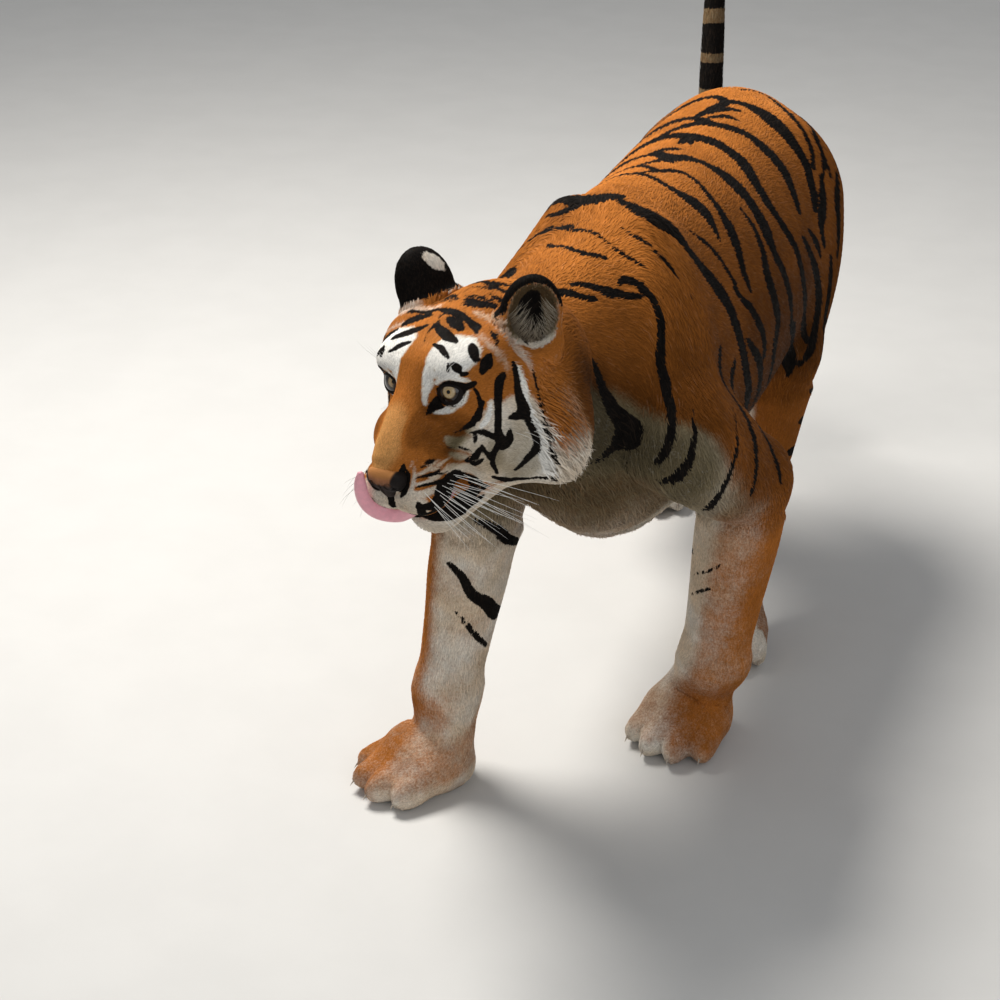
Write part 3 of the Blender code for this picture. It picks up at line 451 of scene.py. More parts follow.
# ------------------------------------------------------------------ markings
# Stripes of the body, as strokes on the trunk's own chart: (y along the body in
# metres, angle round it from the spine in degrees, width in mm).  Positive
# angles are the animal's left.  The other side takes them mirrored, a little changed.
LEFT_STRIPES = [
    ((-0.20, 16, 2), (-0.17, 24, 4), (-0.15, 31, 8), (-0.13, 35, 5), (-0.11, 41, 2)),
    ((-0.26, 10, 3), (-0.22, 18, 5), (-0.20, 28, 4), (-0.18, 33, 2)),
    ((-0.29, 38, 4), (-0.27, 43, 5), (-0.25, 49, 2)),
    ((0.015, -24, 1), (-0.008, -13, 2.6), (-0.020, -5, 3.4), (-0.035, 3, 3.2), (-0.050, 10, 2.6), (-0.060, 19, 2.6), (-0.060, 27, 2.0), (-0.060, 35, 0.4)),
    ((-0.005, 7, 1), (-0.014, 14, 2.8), (-0.020, 22, 2.6), (-0.022, 31, 2.6), (-0.020, 40, 2.0), (-0.020, 47, 1.4), (-0.015, 52, 0.3)),
    ((-0.04, -20, 3), (-0.08, -6, 4), (-0.095, 4, 5), (-0.09, 11, 4), (-0.085, 17, 2)),
    ((0.045, -27, 2), (0.03, -20, 4), (0.045, -13, 2)),
    ((0.062, -2, 1), (0.059, 2, 6), (0.052, 7, 12), (0.044, 12, 16), (0.043, 18, 17), (0.05, 23, 15), (0.06, 29, 12), (0.075, 36, 10), (0.095, 44, 10), (0.11, 53, 10), (0.125, 62, 9), (0.133, 72, 9), (0.14, 82, 8), (0.145, 92, 8), (0.155, 103, 8), (0.18, 117, 8), (0.20, 130, 4)),
    ((0.20, -19, 3), (0.235, -14, 8), (0.232, -7, 9), (0.228, -1, 7), (0.218, 4, 6), (0.212, 9, 7), (0.212, 16, 10), (0.218, 22, 15), (0.22, 27, 13), (0.21, 32, 8), (0.20, 39, 3)),
    ((0.25, -4, 4), (0.28, 1, 6), (0.30, 6, 5), (0.30, 11, 5), (0.29, 17, 5), (0.28, 23, 6), (0.27, 30, 8), (0.26, 37, 12), (0.25, 43, 12), (0.235, 50, 8), (0.222, 58, 6), (0.22, 68, 2)),
    ((0.315, -12, 3), (0.34, -5, 7), (0.37, 0, 13), (0.385, 5, 11), (0.39, 11, 7), (0.39, 17, 10), (0.39, 24, 16), (0.388, 31, 16), (0.384, 37, 14), (0.378, 44, 13), (0.372, 51, 15), (0.362, 58, 11), (0.36, 65, 8), (0.368, 75, 8), (0.378, 88, 7), (0.385, 101, 4)),
    ((0.39, -14, 2), (0.415, -7, 7), (0.42, -1, 4)),
    ((0.48, -22, 2), (0.51, -15, 5), (0.53, -11, 6), (0.55, -5, 9), (0.565, -3, 4)),
    ((0.455, -3, 5), (0.485, 1, 12), (0.49, 7, 12), (0.49, 13, 12), (0.487, 20, 14), (0.477, 27, 15), (0.46, 33, 12), (0.445, 41, 11), (0.44, 47, 9), (0.44, 54, 8), (0.447, 63, 8), (0.457, 71, 8), (0.46, 81, 8), (0.465, 92, 8), (0.485, 106, 8), (0.505, 120, 5)),
    ((0.555, 0, 4), (0.57, 6, 9), (0.578, 13, 9), (0.58, 20, 10), (0.58, 28, 14), (0.58, 36, 15), (0.575, 44, 13), (0.56, 52, 10), (0.54, 61, 5)),
    ((0.59, -8, 3), (0.64, -4, 9), (0.68, -1, 8), (0.705, 3, 8), (0.71, 9, 10), (0.705, 17, 13), (0.69, 25, 15), (0.68, 32, 13), (0.672, 40, 12), (0.668, 48, 11), (0.66, 54, 10), (0.64, 61, 9), (0.61, 69, 5)),
    ((0.61, -6, 4), (0.645, -1, 8), (0.665, 6, 6), (0.67, 12, 2)),
    ((0.60, -1, 3), (0.62, 4, 6), (0.62, 12, 2)),
    ((0.80, 2, 2), (0.83, 9, 4), (0.83, 20, 5), (0.785, 28, 6), (0.75, 35, 6), (0.727, 43, 6), (0.71, 51, 5), (0.68, 58, 2.5)),
    ((0.88, 8, 2.5), (0.885, 20, 5), (0.86, 32, 6), (0.81, 42, 6), (0.77, 50, 5), (0.735, 58, 5), (0.70, 65, 2.5)),
    ((0.31, 58, 4), (0.30, 66, 9), (0.30, 80, 10), (0.305, 90, 8), (0.29, 98, 8), (0.285, 107, 7), (0.30, 122, 4)),
    ((0.37, 98, 3), (0.40, 106, 7), (0.43, 114, 9), (0.455, 121, 10), (0.475, 130, 10), (0.49, 140, 8), (0.50, 150, 4)),
    ((0.51, 73, 5), (0.53, 85, 8), (0.548, 97, 9), (0.555, 108, 9), (0.545, 116, 8), (0.515, 123, 7), (0.49, 131, 4)),
    ((0.55, 72, 3), (0.57, 82, 6), (0.575, 91, 2)),
    ((0.69, 64, 4), (0.655, 71, 8), (0.61, 78, 7), (0.60, 88, 4)),
    ((0.17, 60, 3), (0.19, 70, 4), (0.21, 79, 5), (0.225, 88, 6), (0.232, 96, 6), (0.23, 103, 3)),
    ((0.17, 87, 4), (0.195, 97, 6), (0.22, 109, 7), (0.24, 122, 7), (0.25, 136, 4)),
    ((0.06, 82, 3), (0.04, 90, 6), (0.01, 102, 7), (-0.02, 108, 6), (-0.05, 114, 5), (-0.07, 124, 3)),
    ((0.11, 92, 4), (0.09, 100, 6), (0.06, 108, 6), (0.04, 116, 5), (0.03, 126, 3)),
    ((0.765, 42, 1), (0.745, 52, 3), (0.735, 62, 4), (0.72, 70, 1.5)),
    ((0.92, 36, 1), (0.895, 48, 3), (0.855, 60, 4), (0.805, 70, 4), (0.765, 78, 1)),
    ((0.335, 34, 2), (0.335, 44, 5), (0.325, 54, 7), (0.31, 64, 6), (0.30, 72, 3)),
    ((0.13, 26, 1), (0.15, 34, 3), (0.165, 44, 4), (0.175, 54, 4), (0.18, 62, 2)),
    # rump and thigh, round behind
    ((0.93, 20, 4), (0.935, 45, 9), (0.91, 60, 9), (0.87, 70, 8), (0.83, 78, 5)),
    ((0.62, 96, 4), (0.61, 106, 8), (0.60, 116, 9), (0.57, 128, 5)),
    ((0.76, 72, 4), (0.72, 80, 9), (0.69, 90, 9), (0.66, 100, 5)),
    ((0.84, 86, 4), (0.80, 94, 9), (0.76, 103, 10), (0.72, 112, 6)),
    ((0.93, 78, 4), (0.91, 92, 9), (0.87, 104, 9), (0.83, 114, 5)),
    # belly
    ((0.10, 138, 4), (0.11, 150, 8), (0.10, 165, 6), (0.10, 176, 3)),
    ((0.20, 146, 4), (0.21, 158, 9), (0.20, 170, 6)),
    ((0.32, 130, 5), (0.33, 145, 10), (0.32, 160, 8), (0.31, 174, 4)),
    ((0.42, 140, 4), (0.43, 155, 9), (0.41, 170, 5)),
    ((0.00, 146, 3), (0.00, 160, 6), (-0.01, 172, 3)),
]

# Bands of the right neck and shoulder, on the same chart as above.
NECK_RIGHT = [
    ((-0.12, 27, 3), (-0.09, 33, 7), (-0.09, 40, 9), (-0.10, 48, 11), (-0.12, 59, 12), (-0.14, 71, 12), (-0.155, 81, 12), (-0.165, 88, 12), (-0.172, 94, 9), (-0.185, 99, 7), (-0.20, 105, 6), (-0.21, 112, 6), (-0.22, 120, 6), (-0.225, 125, 3)),
    ((-0.18, 96, 3), (-0.19, 101, 5), (-0.197, 106, 7), (-0.207, 111, 9), (-0.22, 117, 13), (-0.223, 122, 11), (-0.215, 128, 7), (-0.20, 136, 3)),
    ((-0.04, 96, 3), (-0.07, 101, 5), (-0.105, 106, 8), (-0.12, 111, 10), (-0.132, 115, 11), (-0.142, 120, 11), (-0.145, 126, 11), (-0.13, 133, 11), (-0.10, 143, 9)),
    ((-0.27, 61, 3), (-0.25, 65, 5), (-0.24, 72, 6), (-0.238, 79, 7), (-0.23, 87, 9), (-0.22, 96, 10), (-0.21, 104, 9), (-0.207, 112, 8), (-0.21, 119, 6)),
]

# Bands of the left neck and shoulder, on the body itself: x, y, z, width in mm.
NECK_LEFT = [
    ((0.036, -0.292, 0.812, 6), (0.047, -0.263, 0.771, 14), (0.054, -0.251, 0.741, 18), (0.066, -0.230, 0.704, 23), (0.074, -0.213, 0.675, 23), (0.071, -0.213, 0.646, 21), (0.056, -0.214, 0.622, 15), (0.034, -0.216, 0.610, 9), (0.012, -0.222, 0.604, 3)),
    ((0.052, -0.250, 0.694, 5), (0.044, -0.245, 0.672, 5), (0.040, -0.235, 0.650, 3)),
    ((0.038, -0.118, 0.839, 6), (0.049, -0.100, 0.838, 11), (0.070, -0.096, 0.825, 12), (0.088, -0.103, 0.807, 13), (0.101, -0.123, 0.782, 14), (0.105, -0.149, 0.755, 14), (0.115, -0.169, 0.722, 14), (0.125, -0.186, 0.699, 14), (0.128, -0.204, 0.676, 13), (0.125, -0.215, 0.648, 12), (0.114, -0.218, 0.625, 11), (0.100, -0.216, 0.612, 5)),
    ((0.153, -0.166, 0.704, 3), (0.161, -0.188, 0.676, 6), (0.163, -0.204, 0.650, 10), (0.155, -0.212, 0.620, 15), (0.136, -0.214, 0.597, 15), (0.106, -0.207, 0.583, 6)),
    ((0.192, -0.030, 0.660, 6), (0.205, -0.080, 0.645, 9), (0.213, -0.117, 0.627, 11), (0.212, -0.141, 0.598, 13), (0.202, -0.148, 0.564, 15), (0.181, -0.138, 0.525, 15), (0.158, -0.122, 0.495, 8)),
]

# Stripes of the head, in its own axes: x, y, z and width in mm.  Those of the
# middle are drawn as they are; the others are given on the left and mirrored.
HEAD_MIDDLE = [
    ((-0.076, -0.021, 0.093, 3.5), (-0.057, -0.016, 0.095, 6.5), (-0.032, -0.013, 0.098, 6.5), (-0.004, -0.018, 0.103, 7), (0.016, -0.021, 0.101, 8), (0.034, -0.027, 0.098, 4)),
    ((-0.063, -0.046, 0.090, 6), (-0.057, -0.038, 0.092, 13), (-0.046, -0.031, 0.094, 13), (-0.027, -0.028, 0.097, 5)),
    ((-0.053, -0.073, 0.088, 8), (-0.042, -0.064, 0.091, 15), (-0.031, -0.056, 0.093, 13), (-0.016, -0.047, 0.096, 4)),
    ((-0.044, -0.096, 0.083, 3.5), (-0.034, -0.087, 0.087, 8), (-0.022, -0.077, 0.089, 5)),
    ((-0.062, -0.088, 0.083, 5), (-0.058, -0.094, 0.080, 7), (-0.055, -0.100, 0.076, 3)),
    ((0.006, -0.031, 0.100, 8), (0.022, -0.036, 0.098, 14), (0.036, -0.042, 0.094, 8)),
    ((0.000, -0.047, 0.097, 7), (0.015, -0.054, 0.094, 12.5), (0.030, -0.059, 0.092, 12.5), (0.044, -0.063, 0.091, 6)),
    ((0.015, -0.074, 0.090, 4.5), (0.028, -0.078, 0.089, 7.5), (0.041, -0.086, 0.087, 7), (0.051, -0.092, 0.084, 2.6)),
    ((-0.001, -0.076, 0.090, 1.6), (-0.005, -0.062, 0.093, 2.6), (-0.006, -0.049, 0.097, 3.6), (-0.003, -0.038, 0.100, 3)),
    ((-0.010, -0.035, 0.100, 2.2), (-0.007, -0.026, 0.101, 3), (0.005, -0.020, 0.102, 1.6)),
    ((0.003, 0.001, 0.104, 4), (0.022, 0.003, 0.102, 7), (0.037, 0.010, 0.098, 2.7)),
    ((-0.067, 0.006, 0.094, 2.2), (-0.046, 0.011, 0.095, 4.5), (-0.014, 0.003, 0.103, 1.6)),
    ((-0.008, 0.020, 0.104, 2.7), (0.014, 0.023, 0.103, 5.5), (0.036, 0.026, 0.099, 2.2)),
    ((-0.060, 0.030, 0.097, 2.2), (-0.042, 0.027, 0.098, 4.5), (-0.020, 0.023, 0.102, 1.6)),
    ((-0.030, 0.048, 0.102, 2), (-0.010, 0.044, 0.104, 5), (0.016, 0.048, 0.102, 5), (0.040, 0.058, 0.095, 2)),
    ((-0.050, 0.072, 0.094, 2.5), (-0.020, 0.066, 0.100, 8), (0.015, 0.068, 0.100, 9), (0.050, 0.080, 0.090, 4)),
]
HEAD_CROWN = [
    ((-0.073, -0.017, 0.093, 9), (-0.039, -0.014, 0.096, 7), (0.001, -0.016, 0.103, 10), (0.029, -0.021, 0.098, 10), (0.047, -0.031, 0.094, 9), (0.058, -0.041, 0.091, 4)),
    ((0.062, -0.026, 0.093, 3), (0.075, -0.033, 0.089, 5.5), (0.086, -0.040, 0.084, 6), (0.093, -0.047, 0.077, 2.5)),
    ((-0.078, 0.018, 0.098, 5), (-0.060, 0.022, 0.100, 8), (-0.035, 0.020, 0.098, 9), (-0.010, 0.008, 0.104, 5)),
    ((-0.002, 0.012, 0.104, 6), (0.018, 0.010, 0.103, 11), (0.040, 0.016, 0.098, 10), (0.056, 0.016, 0.094, 4)),
    ((-0.068, 0.050, 0.098, 4), (-0.050, 0.060, 0.095, 7), (-0.020, 0.062, 0.094, 9), (0.020, 0.052, 0.098, 9), (0.045, 0.050, 0.094, 4)),
    ((0.020, 0.036, 0.099, 5), (0.045, 0.032, 0.094, 9), (0.062, 0.024, 0.088, 5)),
    ((0.060, 0.000, 0.092, 4), (0.072, -0.012, 0.086, 7), (0.086, -0.030, 0.078, 5)),
]
HEAD_SIDES = [
    ((0.065, -0.059, 0.088, 6.5), (0.074, -0.068, 0.082, 12.5), (0.080, -0.075, 0.075, 6.3)),
    ((0.090, -0.060, 0.075, 6.5), (0.090, -0.069, 0.067, 12.5), (0.088, -0.077, 0.060, 7.5)),
    ((0.061, -0.095, 0.080, 5.5), (0.067, -0.096, 0.075, 9), (0.071, -0.097, 0.070, 4)),
    ((0.054, -0.097, 0.081, 2), (0.057, -0.101, 0.077, 4), (0.057, -0.105, 0.073, 1.6)),
    ((0.073, -0.097, 0.066, 4), (0.078, -0.092, 0.065, 2.8)),
    ((0.034, -0.021, 0.097, 3.8), (0.048, -0.026, 0.094, 5.5), (0.057, -0.030, 0.093, 2.1)),
    # beside and under the eye
    ((0.081, -0.089, 0.022, 3.7), (0.078, -0.098, 0.012, 7), (0.076, -0.110, 0.006, 6), (0.073, -0.121, 0.006, 2.7)),
    # cheek
    ((0.103, -0.061, 0.047, 7), (0.100, -0.068, 0.040, 11), (0.096, -0.075, 0.021, 8.5), (0.094, -0.081, 0.002, 7.5), (0.094, -0.088, -0.015, 8), (0.097, -0.090, -0.028, 9.5)),
    ((0.110, -0.043, 0.054, 5), (0.111, -0.047, 0.041, 6.5), (0.110, -0.049, 0.023, 7.5), (0.109, -0.050, 0.004, 11), (0.110, -0.051, -0.012, 17)),
    ((0.110, -0.051, -0.012, 14), (0.105, -0.062, -0.011, 9), (0.101, -0.071, -0.010, 4)),
    ((0.111, -0.051, -0.017, 9), (0.116, -0.051, -0.035, 7.5), (0.119, -0.052, -0.052, 8), (0.117, -0.057, -0.064, 11), (0.109, -0.070, -0.069, 9.5), (0.099, -0.086, -0.077, 4.3)),
    ((0.102, -0.077, -0.023, 4), (0.101, -0.084, -0.034, 11), (0.097, -0.094, -0.037, 7)),
    ((0.079, -0.116, -0.006, 4.3), (0.085, -0.104, -0.012, 6.5), (0.093, -0.096, -0.023, 6.5), (0.097, -0.092, -0.032, 8)),
    ((0.096, -0.094, -0.032, 6.4), (0.091, -0.104, -0.040, 5.5), (0.088, -0.109, -0.055, 5), (0.088, -0.107, -0.070, 2.7)),
    ((0.079, -0.110, 0.003, 6), (0.075, -0.119, 0.003, 5), (0.072, -0.130, 0.005, 3.4), (0.068, -0.134, 0.010, 1)),
    ((0.080, -0.114, -0.008, 4), (0.080, -0.116, -0.016, 4), (0.079, -0.120, -0.021, 2)),
    ((0.066, -0.149, 0.002, 1.4), (0.070, -0.148, -0.007, 3.4), (0.072, -0.142, -0.014, 3.6), (0.075, -0.135, -0.017, 4.0), (0.075, -0.128, -0.025, 4.0), (0.077, -0.122, -0.033, 1.5)),
    ((0.083, -0.113, -0.027, 4), (0.080, -0.118, -0.034, 6), (0.074, -0.124, -0.039, 6), (0.069, -0.130, -0.040, 3)),
    ((0.068, -0.132, -0.041, 2), (0.071, -0.125, -0.047, 5), (0.078, -0.119, -0.046, 4.3), (0.082, -0.115, -0.044, 1.5)),
    ((0.083, -0.112, -0.030, 4), (0.086, -0.110, -0.039, 4), (0.088, -0.109, -0.046, 4)),
    ((0.116, -0.020, 0.034, 2.1), (0.117, -0.020, 0.002, 4), (0.123, -0.032, -0.032, 4.5), (0.126, -0.040, -0.062, 4.5), (0.122, -0.039, -0.102, 2.7)),
    ((0.083, -0.111, -0.074, 3.2), (0.088, -0.094, -0.091, 7.5), (0.098, -0.070, -0.112, 8.5), (0.108, -0.048, -0.128, 7), (0.112, -0.030, -0.136, 3.5)),
    # whisker rows
    ((0.038, -0.179, -0.017, 1.3), (0.049, -0.171, -0.017, 2.6), (0.059, -0.163, -0.018, 1.3)),
    ((0.040, -0.188, -0.025, 1.6), (0.053, -0.173, -0.027, 3.2), (0.064, -0.154, -0.029, 1.6)),
    ((0.045, -0.195, -0.035, 1.6), (0.057, -0.178, -0.038, 3.2), (0.063, -0.155, -0.043, 2)),
    ((0.047, -0.198, -0.048, 1.4), (0.060, -0.180, -0.052, 2.8), (0.063, -0.158, -0.057, 1.8)),
    # corner of the mouth and the lower lip: black lips, and painted shadow of the open mouth
    ((0.020, -0.172, -0.100, 7), (0.032, -0.158, -0.100, 11), (0.043, -0.142, -0.100, 14), (0.053, -0.126, -0.098, 15), (0.063, -0.112, -0.094, 8)),
]
# pale strokes of the head, left side: under the eye, and down the ruff
HEAD_PALE = [
    ((0.033, -0.122, 0.024, 4), (0.039, -0.115, 0.0225, 7.5), (0.045, -0.110, 0.0215, 8.5), (0.052, -0.104, 0.0235, 8.5), (0.060, -0.098, 0.029, 8), (0.069, -0.094, 0.039, 4.5)),
    ((0.113, -0.043, 0.052, 6), (0.112, -0.041, 0.030, 9), (0.113, -0.041, 0.002, 12), (0.118, -0.045, -0.032, 14), (0.121, -0.050, -0.072, 16), (0.112, -0.045, -0.113, 16)),
    ((0.023, -0.123, 0.036, 8), (0.026, -0.114, 0.054, 13), (0.028, -0.105, 0.072, 16), (0.031, -0.095, 0.084, 16)),
    ((0.036, -0.109, 0.055, 5), (0.044, -0.111, 0.061, 8), (0.051, -0.110, 0.065, 9), (0.059, -0.107, 0.066, 9.5), (0.067, -0.103, 0.062, 9), (0.073, -0.098, 0.057, 7.5), (0.077, -0.093, 0.053, 4)),
    ((0.034, -0.108, 0.068, 10), (0.052, -0.106, 0.070, 10), (0.066, -0.100, 0.066, 7)),
    ((0.084, -0.104, -0.003, 8), (0.087, -0.093, 0.003, 10), (0.090, -0.082, 0.018, 7)),
]
HEAD_PALE_FAINT = [
    ((0.030, -0.006, 0.100, 8), (0.052, -0.006, 0.098, 16), (0.074, -0.012, 0.094, 22), (0.092, -0.018, 0.080, 24), (0.100, -0.018, 0.055, 20), (0.108, -0.022, 0.030, 10)),
    ((0.060, -0.040, 0.090, 6), (0.084, -0.050, 0.083, 9), (0.100, -0.052, 0.068, 10), (0.107, -0.054, 0.050, 6)),
]
HEAD_PALE_CHEEK = [
    ((0.062, -0.152, -0.036, 7), (0.067, -0.139, -0.050, 16), (0.072, -0.126, -0.064, 20), (0.075, -0.113, -0.080, 20)),
    ((0.028, -0.196, -0.086, 10), (0.044, -0.176, -0.090, 14), (0.046, -0.152, -0.098, 16), (0.046, -0.130, -0.104, 16)),
    ((0.069, -0.143, 0.002, 12), (0.073, -0.139, -0.006, 17), (0.076, -0.130, -0.014, 20), (0.078, -0.122, -0.024, 22), (0.080, -0.117, -0.035, 22), (0.080, -0.117, -0.049, 22), (0.080, -0.115, -0.066, 20)),
    ((0.071, -0.134, -0.034, 14), (0.070, -0.145, -0.023, 10), (0.069, -0.150, -0.017, 4)),
    ((0.080, -0.109, -0.002, 17), (0.084, -0.109, -0.020, 18), (0.086, -0.108, -0.029, 18), (0.086, -0.108, -0.045, 18)),
]
HEAD_PALE_SOFT = [
    ((0.049, -0.172, -0.023, 4), (0.059, -0.161, -0.026, 5), (0.066, -0.149, -0.026, 4)),
    ((0.052, -0.178, -0.030, 5), (0.058, -0.164, -0.033, 5.5), (0.063, -0.149, -0.036, 5.5), (0.065, -0.135, -0.044, 3.4)),
    ((0.000, -0.213, -0.052, 20), (0.000, -0.207, -0.070, 20)),
    ((0.035, -0.182, -0.013, 3), (0.037, -0.191, -0.022, 6), (0.038, -0.202, -0.031, 8), (0.038, -0.207, -0.038, 11), (0.045, -0.205, -0.041, 12), (0.052, -0.199, -0.042, 11), (0.057, -0.190, -0.043, 10), (0.063, -0.172, -0.045, 7)),
    ((0.038, -0.188, -0.021, 4), (0.043, -0.181, -0.022, 5), (0.050, -0.172, -0.021, 5), (0.060, -0.160, -0.021, 3)),
    ((0.044, -0.195, -0.031, 6), (0.049, -0.190, -0.032, 6.5), (0.054, -0.182, -0.032, 6), (0.061, -0.166, -0.034, 3.5)),
    ((0.010, -0.214, -0.048, 10), (0.026, -0.210, -0.046, 12), (0.036, -0.207, -0.040, 10), (0.049, -0.201, -0.044, 8), (0.058, -0.187, -0.045, 6), (0.064, -0.160, -0.046, 5), (0.066, -0.140, -0.046, 3)),
    ((0.050, -0.190, -0.050, 3), (0.062, -0.170, -0.056, 4), (0.068, -0.148, -0.060, 3)),
]
# pale areas of the head: centre, radii, amount (x is mirrored)
HEAD_PALE_AREAS = [
    ((0.052, -0.082, 0.084), (0.036, 0.034, 0.024), 1.4),
    ((0.104, -0.070, -0.050), (0.040, 0.058, 0.062), 0.95),
    ((0.080, -0.020, -0.120), (0.075, 0.090, 0.075), 1.0),
    ((0.030, -0.208, -0.062), (0.030, 0.024, 0.024), 0.85),
    ((0.000, -0.150, -0.135), (0.060, 0.070, 0.032), 1.0),
    ((0.088, -0.096, -0.006), (0.016, 0.022, 0.020), 0.55),
]


def stroke_field(q, strokes, scale=0.001, normals=None, flat=0.75):
    """Signed depth of points inside the nearest of a set of strokes; each stroke's last column is its width.
    With normals, distance along them counts for little, so a stroke also holds a little above or below its place."""
    best = np.full(len(q), -1.0)
    for s in strokes:
        s = np.asarray(s, float)
        p, w = s[:, :-1], s[:, -1] * scale / 2
        if len(p) > 2:
            n = 3 * (len(p) - 1) + 1
            p = spline(p, n)
            w = np.abs(spline(w[:, None], n)[:, 0])
        lo, hi = p.min(0) - 0.03, p.max(0) + 0.03
        near = np.where(np.all((q > lo) & (q < hi), axis=1))[0]
        if not len(near):
            continue
        v = q[near]
        nn = None if normals is None else normals[near]
        top = np.full(len(near), -1.0)
        for a, b, wa, wb in zip(p[:-1], p[1:], w[:-1], w[1:]):
            d = b - a
            t = np.clip((v - a) @ d / max(d @ d, 1e-12), 0, 1)
            e = v - a - t[:, None] * d
            if nn is not None:
                e = e - flat * (e * nn).sum(1, keepdims=True) * nn
            top = np.maximum(top, wa * (1 - t) + wb * t - np.sqrt((e * e).sum(1)))
        best[near] = np.maximum(best[near], top)
    return best


# black skin and hair about the eyes and the mouth, drawn at their own width; about the mouth they also hold painted
# shadow of the open mouth
HEAD_RIMS = [
    ((0.034, -0.108, 0.043, 4.5), (0.041, -0.107, 0.051, 5), (0.052, -0.109, 0.057, 5), (0.060, -0.107, 0.057, 5.5), (0.066, -0.102, 0.052, 7), (0.073, -0.095, 0.048, 7), (0.080, -0.090, 0.049, 8)),
    ((0.034, -0.134, 0.029, 3), (0.029, -0.119, 0.028, 8), (0.030, -0.111, 0.031, 8.5), (0.033, -0.105, 0.038, 6), (0.039, -0.106, 0.049, 4.5)),
    ((0.031, -0.114, 0.027, 6.5), (0.037, -0.108, 0.026, 6.5), (0.043, -0.104, 0.027, 6.5), (0.050, -0.099, 0.028, 6.5), (0.057, -0.096, 0.033, 6.5), (0.065, -0.096, 0.041, 6)),
    ((0.035, -0.108, 0.039, 4), (0.043, -0.107, 0.0465, 5), (0.052, -0.107, 0.052, 6), (0.060, -0.103, 0.051, 6), (0.067, -0.097, 0.045, 6)),
    ((0.066, -0.097, 0.044, 7), (0.072, -0.093, 0.0445, 7), (0.079, -0.090, 0.047, 7)),
    # the dark side of the mouth, below and behind the whisker pad: black lips, and painted shadow of the open mouth
    ((0.060, -0.184, -0.048, 6), (0.061, -0.170, -0.045, 12), (0.062, -0.154, -0.048, 15), (0.057, -0.137, -0.063, 13), (0.046, -0.120, -0.088, 6)),
    ((0.057, -0.194, -0.058, 7), (0.062, -0.180, -0.058, 20), (0.060, -0.160, -0.067, 27), (0.050, -0.142, -0.084, 26), (0.042, -0.127, -0.100, 20), (0.044, -0.119, -0.110, 8)),
    ((0.061, -0.180, -0.053, 9), (0.062, -0.162, -0.056, 18), (0.059, -0.146, -0.068, 19), (0.050, -0.130, -0.088, 15)),
    # beside the nose, the groove of the lip, and the lip's edge
    ((0.027, -0.190, -0.010, 5), (0.028, -0.195, -0.018, 11), (0.028, -0.204, -0.027, 13), (0.026, -0.209, -0.036, 10), (0.016, -0.213, -0.043, 5)),
    ((0.000, -0.214, -0.042, 8), (0.000, -0.211, -0.058, 9), (0.000, -0.206, -0.074, 9)),
    ((0.047, -0.207, -0.052, 6), (0.048, -0.206, -0.062, 12), (0.044, -0.203, -0.074, 13)),
    ((0.000, -0.180, -0.098, 10), (0.014, -0.176, -0.101, 14), (0.024, -0.167, -0.104, 16), (0.036, -0.154, -0.109, 17), (0.041, -0.138, -0.117, 12)),
    ((0.076, -0.090, 0.040, 4.0), (0.078, -0.090, 0.025, 6.0), (0.080, -0.096, 0.011, 7.0), (0.079, -0.106, 0.004, 6.0), (0.074, -0.119, 0.005, 2.5)),
    ((0.036, -0.181, -0.017, 1.6), (0.053, -0.168, -0.015, 2.6), (0.064, -0.152, -0.027, 1.6)),
    ((0.038, -0.191, -0.025, 1.8), (0.052, -0.174, -0.028, 3.0), (0.062, -0.150, -0.040, 1.8)),
    ((0.041, -0.200, -0.034, 2.0), (0.055, -0.186, -0.036, 3.6), (0.064, -0.153, -0.049, 2.2)),
    ((0.046, -0.201, -0.052, 1.6), (0.058, -0.184, -0.050, 3.0), (0.066, -0.155, -0.056, 2.0)),
    # the mouth's corner, the back of the whisker pad and the jaw's edge below: black lips, and painted shadow of the
    # open mouth and under the jaw
    ((0.020, -0.206, -0.078, 5), (0.040, -0.200, -0.076, 10), (0.058, -0.182, -0.074, 14), (0.066, -0.152, -0.078, 18), (0.062, -0.126, -0.090, 17), (0.056, -0.112, -0.100, 8)),
    ((0.044, -0.207, -0.058, 5), (0.054, -0.200, -0.061, 12), (0.062, -0.185, -0.065, 16), (0.069, -0.160, -0.070, 15), (0.068, -0.140, -0.078, 12)),
    ((0.030, -0.172, -0.104, 8), (0.040, -0.150, -0.110, 16), (0.048, -0.126, -0.112, 14), (0.052, -0.110, -0.112, 7)),
]

# --------------------------------------------------------------------- set-up
RNG = np.random.default_rng(11)
low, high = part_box("eye_left")
SHIFT = HEAD.world(EYE_C) - (np.array(low) + np.array(high)) / 2   # the tables' frame to the part's
PIECES = bpy.data.collections.new("Tiger looks")
bpy.context.scene.collection.children.link(PIECES)
PARTS_ALL = all_parts()
for part in PARTS_ALL:
    if part.tag == "head" and isinstance(part, Blob) and abs(part.c[1] + 0.116) < 1e-6:
        part.c, part.rad = np.array((0.034, -0.116, -0.012)), np.array((0.033, 0.054, 0.036))
    if part.tag == "paw":
        part.k = 0.024 if part.k < 0.011 else 0.040
EARS = {s: ear_parts(HEAD, s, EAR_SWING[s]) for s in (1, -1)}


def smooth(x, a, b):
    t = np.clip((x - a) / (b - a), 0, 1)
    return t * t * (3 - 2 * t)


def waves(p, freq, seed, octaves=4):
    """Soft, seeded noise of about -1 to 1."""
    r = np.random.default_rng(seed)
    out = np.zeros(len(p))
    for i in range(octaves * 3):
        k = r.normal(size=3) * freq * (1 + 0.6 * (i // 3))
        out += np.sin(p @ k + r.uniform(0, 6.28)) / (1 + i // 3)
    return out / 3.0


def attribute(mesh, name, kind, values, domain="POINT"):
    a = mesh.attributes.new(name, kind, domain)
    a.data.foreach_set({"FLOAT": "value", "FLOAT_VECTOR": "vector", "FLOAT_COLOR": "color"}[kind], np.asarray(values, np.float32).ravel())


def add_object(name, mesh, mat):
    mesh.materials.append(mat)
    obj = bpy.data.objects.new(name, mesh)
    PIECES.objects.link(obj)
    return obj


